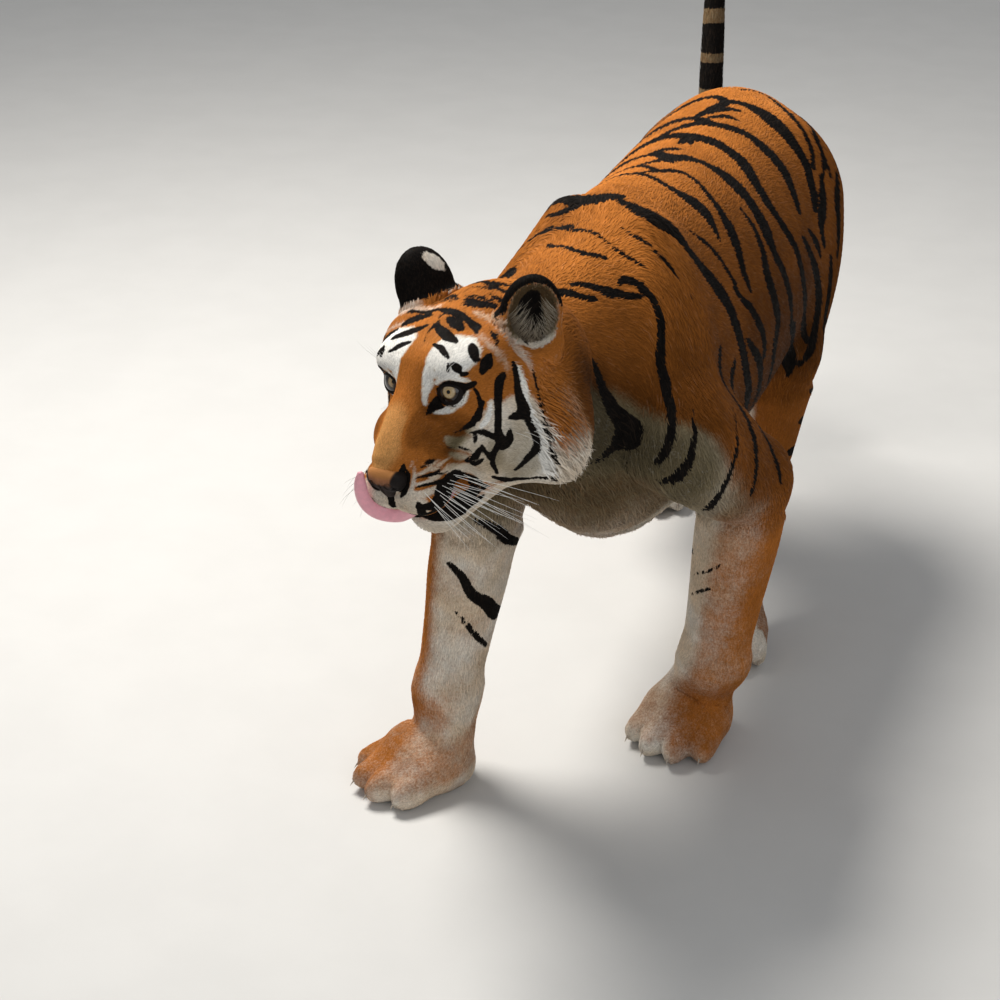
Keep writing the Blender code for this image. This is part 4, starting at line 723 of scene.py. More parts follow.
def mesh_from(name, co, faces, mat, shade=True):
    mesh = bpy.data.meshes.new(name)
    mesh.from_pydata([tuple(v) for v in (np.asarray(co) - SHIFT)], [], [tuple(int(i) for i in f) for f in faces])
    mesh.validate()
    if shade:
        mesh.shade_smooth()
    return add_object(name, mesh, mat)


# ------------------------------------------------------- charts of the body
GROUPS = ["trunk", "fore", "hind", "paw", "tail", "head", "ear"]
TAIL = next(p for p in PARTS_ALL if p.tag == "tail")
ROWS = np.array(TRUNK_ROWS)


def group_distances(p):
    out = {}
    for g in GROUPS:
        d = np.full(len(p), 0.2)
        for part in PARTS_ALL:
            if part.tag != g or part.sub:
                continue
            q = local_of(part, p)
            m = near_box(part, q, 0.09)
            if m.any():
                d[m] = np.minimum(d[m], part.dist(q[m]))
        out[g] = d
    return out


def flow_of(p):
    """Lie of the hair: the parts' own directions, blended by nearness."""
    total = np.zeros((len(p), 3))
    for part in PARTS_ALL:
        if part.sub:
            continue
        q = local_of(part, p)
        m = near_box(part, q, 0.05)
        if not m.any():
            continue
        w = np.exp(-np.clip(part.dist(q[m]), -0.02, 0.2) / 0.012)
        f = np.array(part.flow_at(q[m]), float)
        if part.mirror:
            f[:, 0] *= np.where(part.frame.local(p[m])[:, 0] < 0, -1, 1)
        total[m] += part.frame.vec(f) * w[:, None]
    return total


def trunk_chart(p):
    cx = np.interp(p[:, 1], ROWS[:, 1], ROWS[:, 0])
    cz = np.interp(p[:, 1], ROWS[:, 1], ROWS[:, 2])
    return p[:, 1], np.degrees(np.arctan2(p[:, 0] - cx, p[:, 2] - cz))


def chart_strokes(y, t, strokes):
    """Stroke field on the trunk's chart, with degrees turned into metres round it."""
    k = 0.0036
    return stroke_field(np.stack([y, t * k], 1), [[(a, b * k, 1.30 * w + 2.2) for a, b, w in s] for s in strokes])


def on_trunk(strokes, side):
    """Strokes given on the trunk's chart, laid on the body itself: (x, y, z, width)."""
    body = [part for part in PARTS_ALL if part.tag in ("trunk", "fore", "hind")]
    out = []
    for s in strokes:
        s = spline(s, 3 * (len(s) - 1) + 1) if len(s) > 2 else np.asarray(s, float)
        y, th = s[:, 0].copy(), np.radians(s[:, 1])
        if side < 0:
            y = y + 0.010 + 0.012 * np.sin(y * 9.0 + 1.0)
            th = -th + 0.07 * np.sin(y * 14.0)
        c = np.stack([np.interp(y, ROWS[:, 1], ROWS[:, 0]), y, np.interp(y, ROWS[:, 1], ROWS[:, 2])], 1)
        d = np.stack([np.sin(th), 0 * y, np.cos(th)], 1)
        r = np.full(len(y), 0.42)
        for _ in range(22):
            r -= np.clip(field(c + d * r[:, None], body), -0.02, 0.09) * 0.9
        out.append(np.concatenate([c + d * r[:, None], ((2.35 + 0.55 * smooth(np.abs(s[:, 1]), 30, 80)) * np.abs(s[:, 2]) + 3.0)[:, None]], 1)[:: 1 if len(s) < 3 else 3])
    return out


LAID = []


def body_marks_and_shade(p, dist, nrm):
    """Signed depth inside the dark stripes, and the pale and warm amounts; the warm amount also carries painted shade
    and highlight.
    """
    n = len(p)
    hn = nrm @ HEAD.r
    q = HEAD.local(p)
    y, t = trunk_chart(p)
    wob = p + 0.004 * np.stack([waves(p, 30, 1), waves(p, 30, 2), waves(p, 30, 3)], 1)
    yw, tw = trunk_chart(wob)

    # which chart holds
    head_w = smooth(dist["trunk"] - dist["head"], -0.02, 0.02) * smooth(q[:, 1], 0.13, 0.05)
    tail_w = smooth(p[:, 1], 0.945, 0.965) * ((p[:, 2] > 0.47) | (p[:, 1] > 1.12))
    leg_low = smooth(-p[:, 2], -0.46, -0.42)

    # ---- trunk, shoulders and thighs
    if not LAID:
        LAID.append(on_trunk(LEFT_STRIPES, 1) + [[(a, b, c, 1.08 * w + 1.0) for a, b, c, w in s] for s in NECK_LEFT])
        LAID.append(on_trunk([s for s in LEFT_STRIPES if np.mean([r[1] for r in s]) > 12] + NECK_RIGHT, -1))
    left = stroke_field(wob, LAID[0], normals=nrm, flat=0.6)
    right = stroke_field(wob, LAID[1], normals=nrm, flat=0.6)
    trunk = np.maximum(np.where(t > -34, left, -1), np.where(t < 2, right, -1))
    trunk = trunk - 0.018 * smooth(-p[:, 2], -0.51, -0.43)
    dark = np.where(head_w + tail_w + leg_low < 0.5, trunk, -1.0)

    # ---- limbs
    limb = stroke_field(p, [[(a, b, c, w * 1.15 + 2.0) for a, b, c, w in s] for s in LIMB_STRIPES], normals=nrm)
    dark = np.maximum(dark, np.where(p[:, 2] < 0.50, limb, -1))
    hind = (dist["hind"] < np.minimum(dist["trunk"], dist["fore"])) | ((p[:, 1] > 0.42) & (p[:, 2] < 0.46))
    side = np.where(p[:, 0] > 0.03, 1.0, -1.0)
    fl = np.stack([np.interp(p[:, 2], [0.05, 0.25, 0.49, 0.72], [0.40, 0.60, 0.60, 0.80]), np.interp(p[:, 2], [0.05, 0.27, 0.43, 0.69], [0.95, 1.02, 0.80, 0.80])], 1)
    leg_y = p[:, 1] - np.where(side > 0, fl[:, 0], fl[:, 1])
    phase = (p[:, 2] + 0.35 * leg_y + 0.010 * waves(p, 14, 5)) / 0.058
    band = 0.030 * (np.cos(2 * np.pi * phase) - 0.62 + 0.22 * waves(p, 11, 6))
    outward = side * (p[:, 0] - np.where(side > 0, 0.145, -0.10))
    fade = smooth(leg_y, -0.075, -0.03) * smooth(p[:, 2], 0.10, 0.20) * smooth(-p[:, 2], -0.56, -0.50)
    band = band * 0.6 - 0.012 * (1 - fade)
    dark = np.where(hind & (tail_w < 0.5), np.maximum(dark, band), dark)

    # ---- tail rings
    idx, fr = TAIL.nearest(p)
    arc = TAIL.arc[idx] * (1 - fr) + TAIL.arc[idx + 1] * fr
    total = TAIL.arc[-1]
    ring = 0.020 * (np.cos(2 * np.pi * (arc + 0.006 * waves(p, 20, 8)) / 0.078 + 0.6) + 0.46 - 0.85 * smooth(-arc, -0.60, -0.20))
    ring = np.maximum(ring, 0.010 * (np.cos(2 * np.pi * arc / 0.088 * 2 + 2.1) - 0.72))
    ring = np.maximum(ring, (arc - (total - 0.085)) * 0.5)
    dark = np.where(tail_w > 0.5, np.maximum(ring, -0.02), dark)

    # ---- head
    qw = q + 0.0012 * np.stack([waves(q, 120, 11), waves(q, 120, 12), waves(q, 120, 13)], 1)
    qa = qw * np.array([1, 1, 1.0])
    mirrored = np.stack([np.abs(qw[:, 0]), qw[:, 1], qw[:, 2]], 1)
    other = mirrored + np.stack([0 * qw[:, 0], 0.003 * np.sin(q[:, 2] * 60), 0.003 * np.sin(q[:, 1] * 70)], 1)
    flip = np.where(q[:, :1] < 0, hn * [-1, 1, 1], hn)
    bold = lambda strokes, k, more: [[(*r[:-1], k * r[-1] + more) for r in s] for s in strokes]
    middle = np.maximum(stroke_field(qa, bold(HEAD_MIDDLE, 1.05, 0.9), normals=hn), stroke_field(qa, HEAD_CROWN, normals=hn))
    here = np.where(q[:, :1] > 0, mirrored, other)
    sides = stroke_field(here, bold(HEAD_SIDES, 1.15, 1.2), normals=flip)
    rims = stroke_field(here, HEAD_RIMS, normals=flip)
    sides = np.maximum(sides, rims)
    on_head = head_w > 0.5
    head_dark = np.maximum(middle, sides)
    dark = np.where(on_head, head_dark, dark)

    # ---- pale parts
    ta = np.abs(t)
    edge = np.interp(y, [-0.30, -0.24, -0.20, -0.17, -0.13, 0.00, 0.15, 0.28, 0.42, 0.56, 0.70, 0.90], [84, 88, 96, 110, 120, 129, 137, 136, 132, 132, 134, 136]) + 5 * waves(p, 12, 21)
    pale = smooth(ta - edge, -13, 13)
    # painted shade under the chest: the breast keeps less of its pale colour
    breast_shade = smooth(-p[:, 2], -0.610, -0.560) * smooth(-p[:, 0], -0.150, -0.095) * smooth(-p[:, 1], 0.0, 0.06)
    pale = pale * (1 - 0.38 * breast_shade)
    # the limbs: pale within and in front
    fore = (dist["fore"] < dist["trunk"] - 0.01) | (dist["paw"] < 0.03)
    is_left = p[:, 0] > 0.0
    fx = np.where(is_left, np.interp(p[:, 2], [0.10, 0.15, 0.475, 0.62], [0.125, 0.15, 0.192, 0.16]), np.interp(p[:, 2], [0.10, 0.15, 0.44, 0.62], [-0.23, -0.222, -0.178, -0.19]))
    fy = np.where(is_left, np.interp(p[:, 2], [0.10, 0.15, 0.475, 0.62], [0.11, 0.11, 0.08, -0.13]), np.interp(p[:, 2], [0.10, 0.15, 0.44, 0.62], [-0.10, -0.085, -0.06, -0.15]))
    out = np.where(is_left, p[:, 0] - fx, fx - p[:, 0]) / 0.06
    front = (fy - p[:, 1]) / 0.06
    tan = 0.40 * smooth(-out + 0.5 * front, -0.95, 0.35) + 0.60 * smooth(-out + 0.10 * front, 0.30, 0.95)
    inner = np.where(is_left, tan, 0.88 * smooth(-out + 0.7 * front, -0.75, 0.45))
    low_fade = smooth(-p[:, 2], -0.34, -0.14) * 0.40
    fore_pale = np.clip(np.maximum(inner, low_fade) + 0.14 * waves(p, 16, 22), 0, 1)
    fore_pale = fore_pale * (1 - 0.40 * smooth(-p[:, 2], -0.11, -0.07) * smooth(p[:, 2], 0.022, 0.045))
    below = smooth(-p[:, 2], -0.56, -0.44)
    is_fore = (p[:, 1] < 0.30) & (p[:, 2] < 0.60) & fore
    wrist = smooth(-np.linalg.norm((p - np.where(is_left[:, None], np.array((0.150, 0.100, 0.110)), np.array((-0.215, -0.100, 0.125)))) / np.array((0.075, 0.075, 0.050)), axis=1), -1.3, -0.6)
    fore_pale = fore_pale * (0.90 - 0.55 * wrist * smooth(waves(p, 26, 24), -0.6, 0.5))
    pale = np.where(is_fore, pale * (1 - below) + fore_pale * below, pale)
    h_out = side * (p[:, 0] - np.where(side > 0, 0.145, -0.105)) / 0.06
    hind_pale = np.clip(smooth(-h_out, 0.05, 0.6) + 0.35 * smooth(p[:, 2], 0.22, 0.08), 0, 1)
    hb = smooth(-p[:, 2], -0.58, -0.46)
    pale = np.where((p[:, 1] > 0.38) & (tail_w < 0.5) & (p[:, 2] < 0.60), pale * (1 - hb) + hind_pale * hb, pale)
    tail_side = smooth(-(p[:, 2] - 0.60) * 0, 0, 1)
    pale = np.where(tail_w > 0.5, 0.12 + 0.44 * smooth(arc, 0.04, 0.42), pale)
    # the head's pale parts
    ql = np.stack([np.abs(q[:, 0]), q[:, 1], q[:, 2]], 1)
    hp = np.zeros(n)
    for c, r, amount in HEAD_PALE_AREAS:
        e = np.linalg.norm((ql - np.array(c)) / np.array(r), axis=1) + 0.07 * waves(q, 70, 31) + 0.09 * waves(q * [2.2, 0.6, 1.0], 75, 33)
        hp = np.maximum(hp, amount * smooth(-e, -1.12, -0.86))
    ps = stroke_field(ql, HEAD_PALE, normals=flip)
    bridge = smooth(-np.abs(q[:, 0]), -0.036, -0.028) * smooth(q[:, 2], -0.040, -0.034) * smooth(-q[:, 1], 0.02, 0.06)
    hp = hp * (1 - bridge * smooth(-q[:, 1], 0.115, 0.125))
    hp = np.maximum(hp, smooth(ps, -0.0012, 0.0012))
    hp = np.maximum(hp, smooth(-(q[:, 2] + 0.10), -0.01, 0.02))
    # the muzzle's bridge keeps its colour; the fringe behind the cheek is orange above
    brow_mid = smooth(-np.abs(q[:, 0]), -0.021, -0.014)
    hp = hp * (1 - brow_mid * smooth(q[:, 2], 0.0, 0.01))
    fringe = smooth(q[:, 1], -0.036, -0.022)
    fringe_pale = 0.10 + 0.78 * smooth(-q[:, 2], 0.055, 0.112)
    fringe_pale = np.maximum(fringe_pale, 0.28 * smooth(q[:, 1], -0.012, 0.008) * smooth(-q[:, 2], -0.01, 0.04))
    hp = hp * (1 - fringe) + np.where(q[:, 2] < 0.03, fringe_pale * smooth(0.06 - q[:, 1], 0.0, 0.03), 0.0) * fringe
    hp = np.maximum(hp, 1.4 * smooth(ps, -0.0018, 0.0016))
    hp = np.maximum(hp, 0.86 * smooth(stroke_field(ql, HEAD_PALE_CHEEK, normals=flip) + 0.0022 * waves(q, 130, 35), -0.004, 0.003))
    hp = np.maximum(hp, 0.52 * smooth(stroke_field(ql, HEAD_PALE_FAINT, normals=flip), -0.004, 0.004))
    hp = np.maximum(hp, 0.80 * smooth(stroke_field(ql, HEAD_PALE_SOFT, normals=flip), -0.002, 0.002))
    pale = np.where(on_head, hp, pale * 1.0)

    warm_and_shade = 0.46 + 0.26 * waves(p, 6, 41) + 0.12 * waves(p, 25, 42)
    # painted shade: the flanks are made darker than the lit back, and the lower sides darker still
    warm_and_shade = warm_and_shade - 0.85 * smooth(np.abs(t), 20, 95) * (1 - head_w) * smooth(p[:, 2], 0.35, 0.55)
    warm_and_shade = warm_and_shade - 0.15 * smooth(np.abs(t), 100, 130) * (1 - head_w) * smooth(p[:, 2], 0.35, 0.50)
    def within(c, r, lo=1.25, hi=0.6):
        return smooth(-np.linalg.norm((ql - np.array(c)) / np.array(r), axis=1), -lo, -hi)
    # on the face: the bridge lighter, partly its own paler hair and partly a painted highlight, and the top of the
    # forehead a little lighter; painted shade under the eyes, on the muzzle's sides and on the cheeks
    face = warm_and_shade + 0.38 * within((0.0, -0.175, 0.020), (0.030, 0.070, 0.040)) + 0.20 * within((0, -0.05, 0.10), (0.05, 0.06, 0.03))
    face = face - 0.75 * within((0.064, -0.140, 0.004), (0.030, 0.036, 0.024)) - 0.55 * within((0.032, -0.150, 0.020), (0.014, 0.040, 0.020))
    face = face - 0.45 * within((0.060, -0.165, -0.030), (0.020, 0.040, 0.020))
    face = face - 0.55 * within((0.098, -0.070, -0.060), (0.030, 0.045, 0.060))
    face = face - 0.50 * within((0.078, -0.124, -0.030), (0.030, 0.038, 0.045))
    warm_and_shade = np.where(on_head, face, warm_and_shade)
    # painted shade: the coat is darkened in the hollow behind the ruff and under the jaw, and on the left of the neck
    nape_shade = smooth(-np.linalg.norm((ql - np.array((0.125, 0.075, -0.075))) / np.array((0.060, 0.050, 0.100)), axis=1), -1.25, -0.55)
    warm_and_shade = warm_and_shade - 0.85 * nape_shade
    neck_shade = smooth(-np.linalg.norm((p - np.array((0.035, -0.290, 0.700))) / np.array((0.070, 0.060, 0.120)), axis=1), -1.3, -0.5)
    warm_and_shade = warm_and_shade - 0.55 * neck_shade

    warm_and_shade = np.where(tail_w > 0.5, -0.55 + 0.8 * smooth(-arc, -0.55, -0.25), warm_and_shade)
    # ---- ears
    for s, (shell, foot, cup) in EARS.items():
        e = shell.frame.local(p)
        near = (dist["ear"] < 0.010) & (np.sign(q[:, 0]) == s) & (shell.dist(e) < 0.006)
        r = np.sqrt((e[:, 0] / 0.041) ** 2 + ((e[:, 2] - 0.032) / 0.054) ** 2)
        behind = smooth(e[:, 1], -0.006, 0.004) * smooth(e[:, 2], -0.002, 0.016)
        ex, ez = -s * e[:, 0] + 0.018, e[:, 2] - 0.0595
        spot = np.sqrt(((0.64 * ex + 0.77 * ez) / 0.0185) ** 2 + ((0.77 * ex - 0.64 * ez) / 0.0088) ** 2) + 0.10 * waves(e, 150, 71) + 0.10 * waves(e, 330, 73)
        inside = (cup.dist(e) < 0.004) & (e[:, 1] < 0.012)
        rim = smooth(r, 0.80, 0.92) * smooth(e[:, 2], 0.030, 0.050)
        # painted shadow: a dark oval deep in the ear's cup
        pupil = np.sqrt((e[:, 0] / 0.017) ** 2 + ((e[:, 2] - 0.028) / 0.030) ** 2) + 0.16 * waves(e, 110, 72)
        ear_dark = np.where(inside, np.maximum(0.008 * (1.0 - pupil), 0.02 * (rim - 0.4)), np.where(behind > 0.5, 0.0040 * (spot - 0.95), 0.02 * (rim - 0.5)))
        ear_pale = np.where(inside, 0.55 + 0.35 * smooth(-e[:, 2], -0.030, -0.005), np.where(behind > 0.5, 1.00, 0.15))
        dark = np.where(near, ear_dark, dark)
        pale = np.where(near, ear_pale, pale)
        # painted shade: the cup's cream darkened to grey olive, lighter toward its foot
        warm_and_shade = np.where(near & inside, -0.75 + 0.9 * smooth(-e[:, 2], -0.022, 0.0), warm_and_shade)
    return dark, np.clip(pale, 0, 1.5), np.clip(warm_and_shade, -1, 1), head_w, tail_w, arc, t


LIMB_STRIPES = [
    ((-0.152, -0.170, 0.474, 4), (-0.140, -0.160, 0.462, 10), (-0.128, -0.129, 0.444, 14), (-0.114, -0.097, 0.417, 14), (-0.108, -0.060, 0.395, 8)),
    ((-0.211, -0.132, 0.388, 6), (-0.184, -0.137, 0.368, 11), (-0.168, -0.132, 0.337, 14), (-0.149, -0.116, 0.318, 18), (-0.140, -0.089, 0.289, 20), (-0.134, -0.050, 0.275, 12)),
    ((-0.199, -0.136, 0.308, 3.4), (-0.180, -0.132, 0.289, 6.5), (-0.165, -0.120, 0.263, 8), (-0.152, -0.090, 0.231, 5)),
    ((-0.168, -0.085, 0.205, 3), (-0.170, -0.060, 0.190, 7), (-0.180, -0.035, 0.185, 4)),
    ((0.115, 0.061, 0.315, 2.2), (0.146, 0.032, 0.337, 3.6), (0.168, 0.023, 0.355, 2.2)),
    ((0.108, 0.075, 0.271, 2.2), (0.134, 0.045, 0.296, 4.0), (0.156, 0.033, 0.310, 2.2)),
    ((0.105, 0.110, 0.330, 6), (0.110, 0.090, 0.345, 10), (0.118, 0.068, 0.350, 5)),
    ((0.108, 0.120, 0.400, 6), (0.118, 0.085, 0.420, 12), (0.130, 0.050, 0.425, 7)),
]


# ------------------------------------------------------------------- the skin
def coat_depth(p, dist):
    """How far the skin lies under the coat's tips."""
    q = HEAD.local(p)
    d = np.full(len(p), 0.009)
    y, t = trunk_chart(p)
    d += 0.004 * smooth(np.abs(t), 110, 150) * (p[:, 2] > 0.40)
    d = np.where(p[:, 2] < 0.42, 0.0065, d)
    d = np.where(p[:, 2] < 0.16, 0.0045, d)
    d = np.where(p[:, 1] > 1.0, 0.008, d)
    head = smooth(q[:, 1], 0.10, 0.04) * smooth(dist["trunk"] - dist["head"], -0.02, 0.02)
    face = 0.0030 + 0.006 * smooth(q[:, 1], -0.07, 0.03)
    d = d * (1 - head) + face * head
    ruff = smooth(np.linalg.norm((np.abs(q) * [1, 0, 0] + q * [0, 1, 1] - [0.105, 0.0, -0.075]) / [0.06, 0.06, 0.08], axis=1), 1.2, 0.6)
    d = d + 0.006 * ruff
    nose = smooth(np.linalg.norm((q - [0, -0.205, -0.028]) / [0.030, 0.022, 0.024], axis=1), 1.3, 0.8)
    d = d + 0.003 * nose
    d = np.where(dist["ear"] < 0.006, 0.0025, d)
    return d


SKIN_EXTRA = [
    # folds of the face, in the head's axes
    Blob((0.0455, -0.0925, 0.0375), (0.0232, 0.0232, 0.0232), k=0.008, mirror=True, frame=HEAD, tag="face"),
    Blob((0.0511, -0.1145, 0.0414), (0.0175, 0.0150, 0.0125), tilt=rot(42), k=0.004, mirror=True, frame=HEAD, sub=True, tag="face"),
    Tube([(0.0, -0.2120, -0.0440, 0.0016), (0.0, -0.2080, -0.0620, 0.0018), (0.0, -0.2020, -0.0790, 0.0018)], k=0.004, frame=HEAD, sub=True, tag="face", n=6, sides=8),
    Tube([(0.004, -0.196, -0.0870, 0.0030), (0.030, -0.184, -0.0880, 0.0032), (0.050, -0.160, -0.0900, 0.0036), (0.062, -0.132, -0.0900, 0.0034), (0.070, -0.105, -0.086, 0.002)], k=0.005, frame=HEAD, mirror=True, sub=True, tag="face", n=12, sides=8),
]


def subdivide_where(obj, test):
    bm = bmesh.new()
    bm.from_mesh(obj.data)
    bm.verts.ensure_lookup_table()
    co = np.array([v.co for v in bm.verts])
    inside = test(co)
    edges = [e for e in bm.edges if inside[e.verts[0].index] and inside[e.verts[1].index]]
    bmesh.ops.subdivide_edges(bm, edges=edges, cuts=1, use_grid_fill=True)
    bm.to_mesh(obj.data)
    bm.free()


def normals_of(mesh):
    n = np.empty(len(mesh.vertices) * 3, np.float32)
    mesh.vertices.foreach_get("normal", n)
    return n.reshape(-1, 3).astype(float)


def make_skin(mat):
    obj = seed_object(PARTS_ALL, "skin", PIECES, SKIN_VOXEL, 0.007)
    parts = PARTS_ALL + SKIN_EXTRA
    p = project(coords_of(obj.data), PARTS_ALL, 2, -0.006)
    set_coords(obj.data, p)
    def head_zone(co):
        q = HEAD.local(co)
        return (q[:, 1] < 0.075) & (q[:, 2] > -0.19) & (np.linalg.norm(q, axis=1) < 0.27)
    def face_zone(co):
        q = HEAD.local(co)
        return (q[:, 1] < -0.078) & (np.linalg.norm(q, axis=1) < 0.27) & (q[:, 2] > -0.14) | (ear_near(co))
    def ear_near(co):
        hit = np.zeros(len(co), bool)
        for s, (shell, foot, cup) in EARS.items():
            e = shell.frame.local(co)
            hit |= shell.dist(e) < 0.006
        return hit
    subdivide_where(obj, head_zone)
    subdivide_where(obj, face_zone)
    p = coords_of(obj.data)
    dist = group_distances(p)
    depth = coat_depth(p, dist)
    for step in range(5):
        set_coords(obj.data, p)
        d = field(p, parts) + depth
        p = p - normals_of(obj.data) * np.clip(d, -0.012, 0.012)[:, None]
    p[:, 2] = np.maximum(p[:, 2], 0.0)
    set_coords(obj.data, p)
    n = normals_of(obj.data)
    obj.data.shade_smooth()
    return obj, p, dist, n, depth


# ------------------------------------------------------------------- the coat
def hair(p, dist, head_w, tail_w, arc, t):
    """Length and width of a tuft, how it lifts, and how thickly tufts stand."""
    q = HEAD.local(p)
    n = len(p)
    length = np.full(n, 0.0165)
    lift = np.full(n, 0.075)
    at = np.abs(t)
    length += 0.009 * smooth(at, 105, 150) * (p[:, 2] > 0.38)
    chest = smooth(p[:, 1], -0.02, -0.15) * smooth(at, 90, 130)
    length += 0.006 * chest
    length = np.where(p[:, 2] < 0.52, length * (1 - smooth(-p[:, 2], -0.52, -0.40)) + 0.0095 * smooth(-p[:, 2], -0.52, -0.40), length)
    length = np.where(p[:, 2] < 0.13, 0.0070, length)
    length = np.where(p[:, 2] < 0.05, 0.0055, length)
    length = np.where(tail_w > 0.5, 0.0150, length)
    face = 0.0052 + 0.010 * smooth(q[:, 1], -0.10, 0.04)
    face = np.where(q[:, 1] < -0.15, 0.0042, face)
    length = length * (1 - head_w) + face * head_w
    ruff = smooth(np.linalg.norm((np.stack([np.abs(q[:, 0]), q[:, 1], q[:, 2]], 1) - [0.112, -0.010, -0.075]) / [0.05, 0.045, 0.085], axis=1), 1.15, 0.5) * (head_w > 0.3)
    length += 0.026 * ruff
    lift += 0.14 * ruff
    chin = smooth(np.linalg.norm((q - [0, -0.145, -0.138]) / [0.05, 0.05, 0.03], axis=1), 1.2, 0.5)
    length += 0.008 * chin
    lift += 0.10 * chin
    ear = dist["ear"] < 0.004
    length = np.where(ear, 0.0060, length)
    width = np.clip(0.105 * length, 0.0008, 0.0017)
    width = np.where(ruff > 0.3, 0.0016, width)
    cover = np.full(n, 1.0)
    cover += 0.5 * ruff + 0.5 * head_w
    density = cover / (0.5 * length * width)
    # no tufts on the eyes, the nose leather and the lips, nor under the soles
    bare = np.zeros(n, bool)
    ql = np.stack([np.abs(q[:, 0]), q[:, 1], q[:, 2]], 1)
    bare |= np.linalg.norm((ql - [0.0490, -0.1112, 0.0412]) / [0.0190, 0.022, 0.0128], axis=1) < 1.0
    bare |= np.linalg.norm((q - [0, -0.209, -0.028]) / [0.026, 0.020, 0.020], axis=1) < 1.0
    bare |= p[:, 2] < 0.004
    bare |= stroke_field(ql, [((0.004, -0.196, -0.087, 6), (0.030, -0.184, -0.088, 6), (0.050, -0.160, -0.090, 7), (0.062, -0.132, -0.090, 6))]) > 0
    density = np.where(bare, 0.0, density)
    return length, width, lift, density


def scatter(obj, p, values, density, total):
    """Seeded points on the skin, with the vertex values at each."""
    mesh = obj.data
    mesh.calc_loop_triangles()
    tri = np.empty(len(mesh.loop_triangles) * 3, np.int32)
    mesh.loop_triangles.foreach_get("vertices", tri)
    tri = tri.reshape(-1, 3)
    a, b, c = p[tri[:, 0]], p[tri[:, 1]], p[tri[:, 2]]
    area = np.linalg.norm(np.cross(b - a, c - a), axis=1) / 2
    weight = area * density[tri].min(1)
    expect = weight * (total / weight.sum())
    cum = np.cumsum(expect)
    count = int(cum[-1])
    at = np.searchsorted(cum, np.arange(count) + RNG.uniform(0, 1, count) * 0.999)
    at = np.clip(at, 0, len(tri) - 1)
    u = np.sqrt(RNG.uniform(0, 1, count))
    v = RNG.uniform(0, 1, count)
    w = np.stack([1 - u, u * (1 - v), u * v], 1)
    t = tri[at]
    return [sum(x[t[:, i]] * (w[:, i] if x.ndim == 1 else w[:, i:i + 1]) for i in range(3)) for x in values], weight.sum()


def unit(v):
    return v / np.maximum(np.linalg.norm(v, axis=1, keepdims=True), 1e-9)


def tuft_piece(name, mat, c, nrm, fl, length, width, lift, marks_and_shade, ends, uv):
    """Joined mesh of tufts: each is a thin blade with a ridge, its tip a little off the skin."""
    n = len(c)
    side = unit(np.cross(fl, nrm))
    bend = RNG.uniform(-0.16, 0.16, n)[:, None]
    root = c - fl * (0.42 * length)[:, None] - nrm * 0.0006
    mid = c + fl * (0.06 * length)[:, None] + nrm * (lift * length)[:, None] + side * bend * 0.3 * length[:, None]
    tip = c + fl * (0.58 * length)[:, None] + nrm * (lift * length * 0.9)[:, None] + side * bend * length[:, None]
    w = width[:, None] / 2
    co = np.empty((n, 6, 3))
    co[:, 0] = root - side * w * 0.8
    co[:, 1] = root + side * w * 0.8
    co[:, 2] = mid - side * w - nrm * w * 0.4
    co[:, 3] = mid + nrm * w * 0.5
    co[:, 4] = mid + side * w - nrm * w * 0.4
    co[:, 5] = tip
    tri = np.array([(0, 1, 3), (0, 3, 2), (1, 4, 3), (2, 3, 5), (3, 4, 5)])
    faces = (tri[None] + 6 * np.arange(n)[:, None, None]).reshape(-1)
    mesh = bpy.data.meshes.new(name)
    mesh.vertices.add(6 * n)
    mesh.vertices.foreach_set("co", (co - SHIFT).astype(np.float32).ravel())
    mesh.loops.add(len(faces))
    mesh.loops.foreach_set("vertex_index", faces.astype(np.int32))
    mesh.polygons.add(5 * n)
    mesh.polygons.foreach_set("loop_start", np.arange(0, len(faces), 3, dtype=np.int32))
    mesh.update(calc_edges=True)
    vn = np.empty((n, 6, 3))
    for i, s in enumerate((-0.25, 0.25, -0.3, 0.0, 0.3, 0.0)):
        vn[:, i] = nrm + side * s + fl * 0.10
    marks = np.repeat(marks_and_shade[:, None], 6, 1)
    marks[:, (0, 1), 0] = ends[:, :1]
    marks[:, 5, 0] = ends[:, 1]
    attribute(mesh, "marks_and_shade", "FLOAT_VECTOR", marks)
    rnd = RNG.uniform(0, 1, n)
    fur = np.zeros((n, 6, 3))
    fur[:, :, 0] = rnd[:, None]
    fur[:, :, 1] = np.array([0, 0, 0.5, 0.55, 0.5, 1.0])[None]
    attribute(mesh, "fur", "FLOAT_VECTOR", fur)
    patch = np.array([(0, 0), (1, 0), (0, 0.5), (0.5, 0.5), (1, 0.5), (0.5, 1)]) * 0.003 - 0.0015
    uvs = (np.clip(uv, 0.004, 0.996)[:, None] + patch[None]).reshape(-1, 2)
    layer = mesh.uv_layers.new(name="OFBake", do_init=False)
    layer.uv.foreach_set("vector", uvs[faces].astype(np.float32).ravel())
    mesh.shade_smooth()
    mesh.normals_split_custom_set_from_vertices(unit(vn.reshape(-1, 3)).astype(np.float32))
    return add_object(name, mesh, mat)


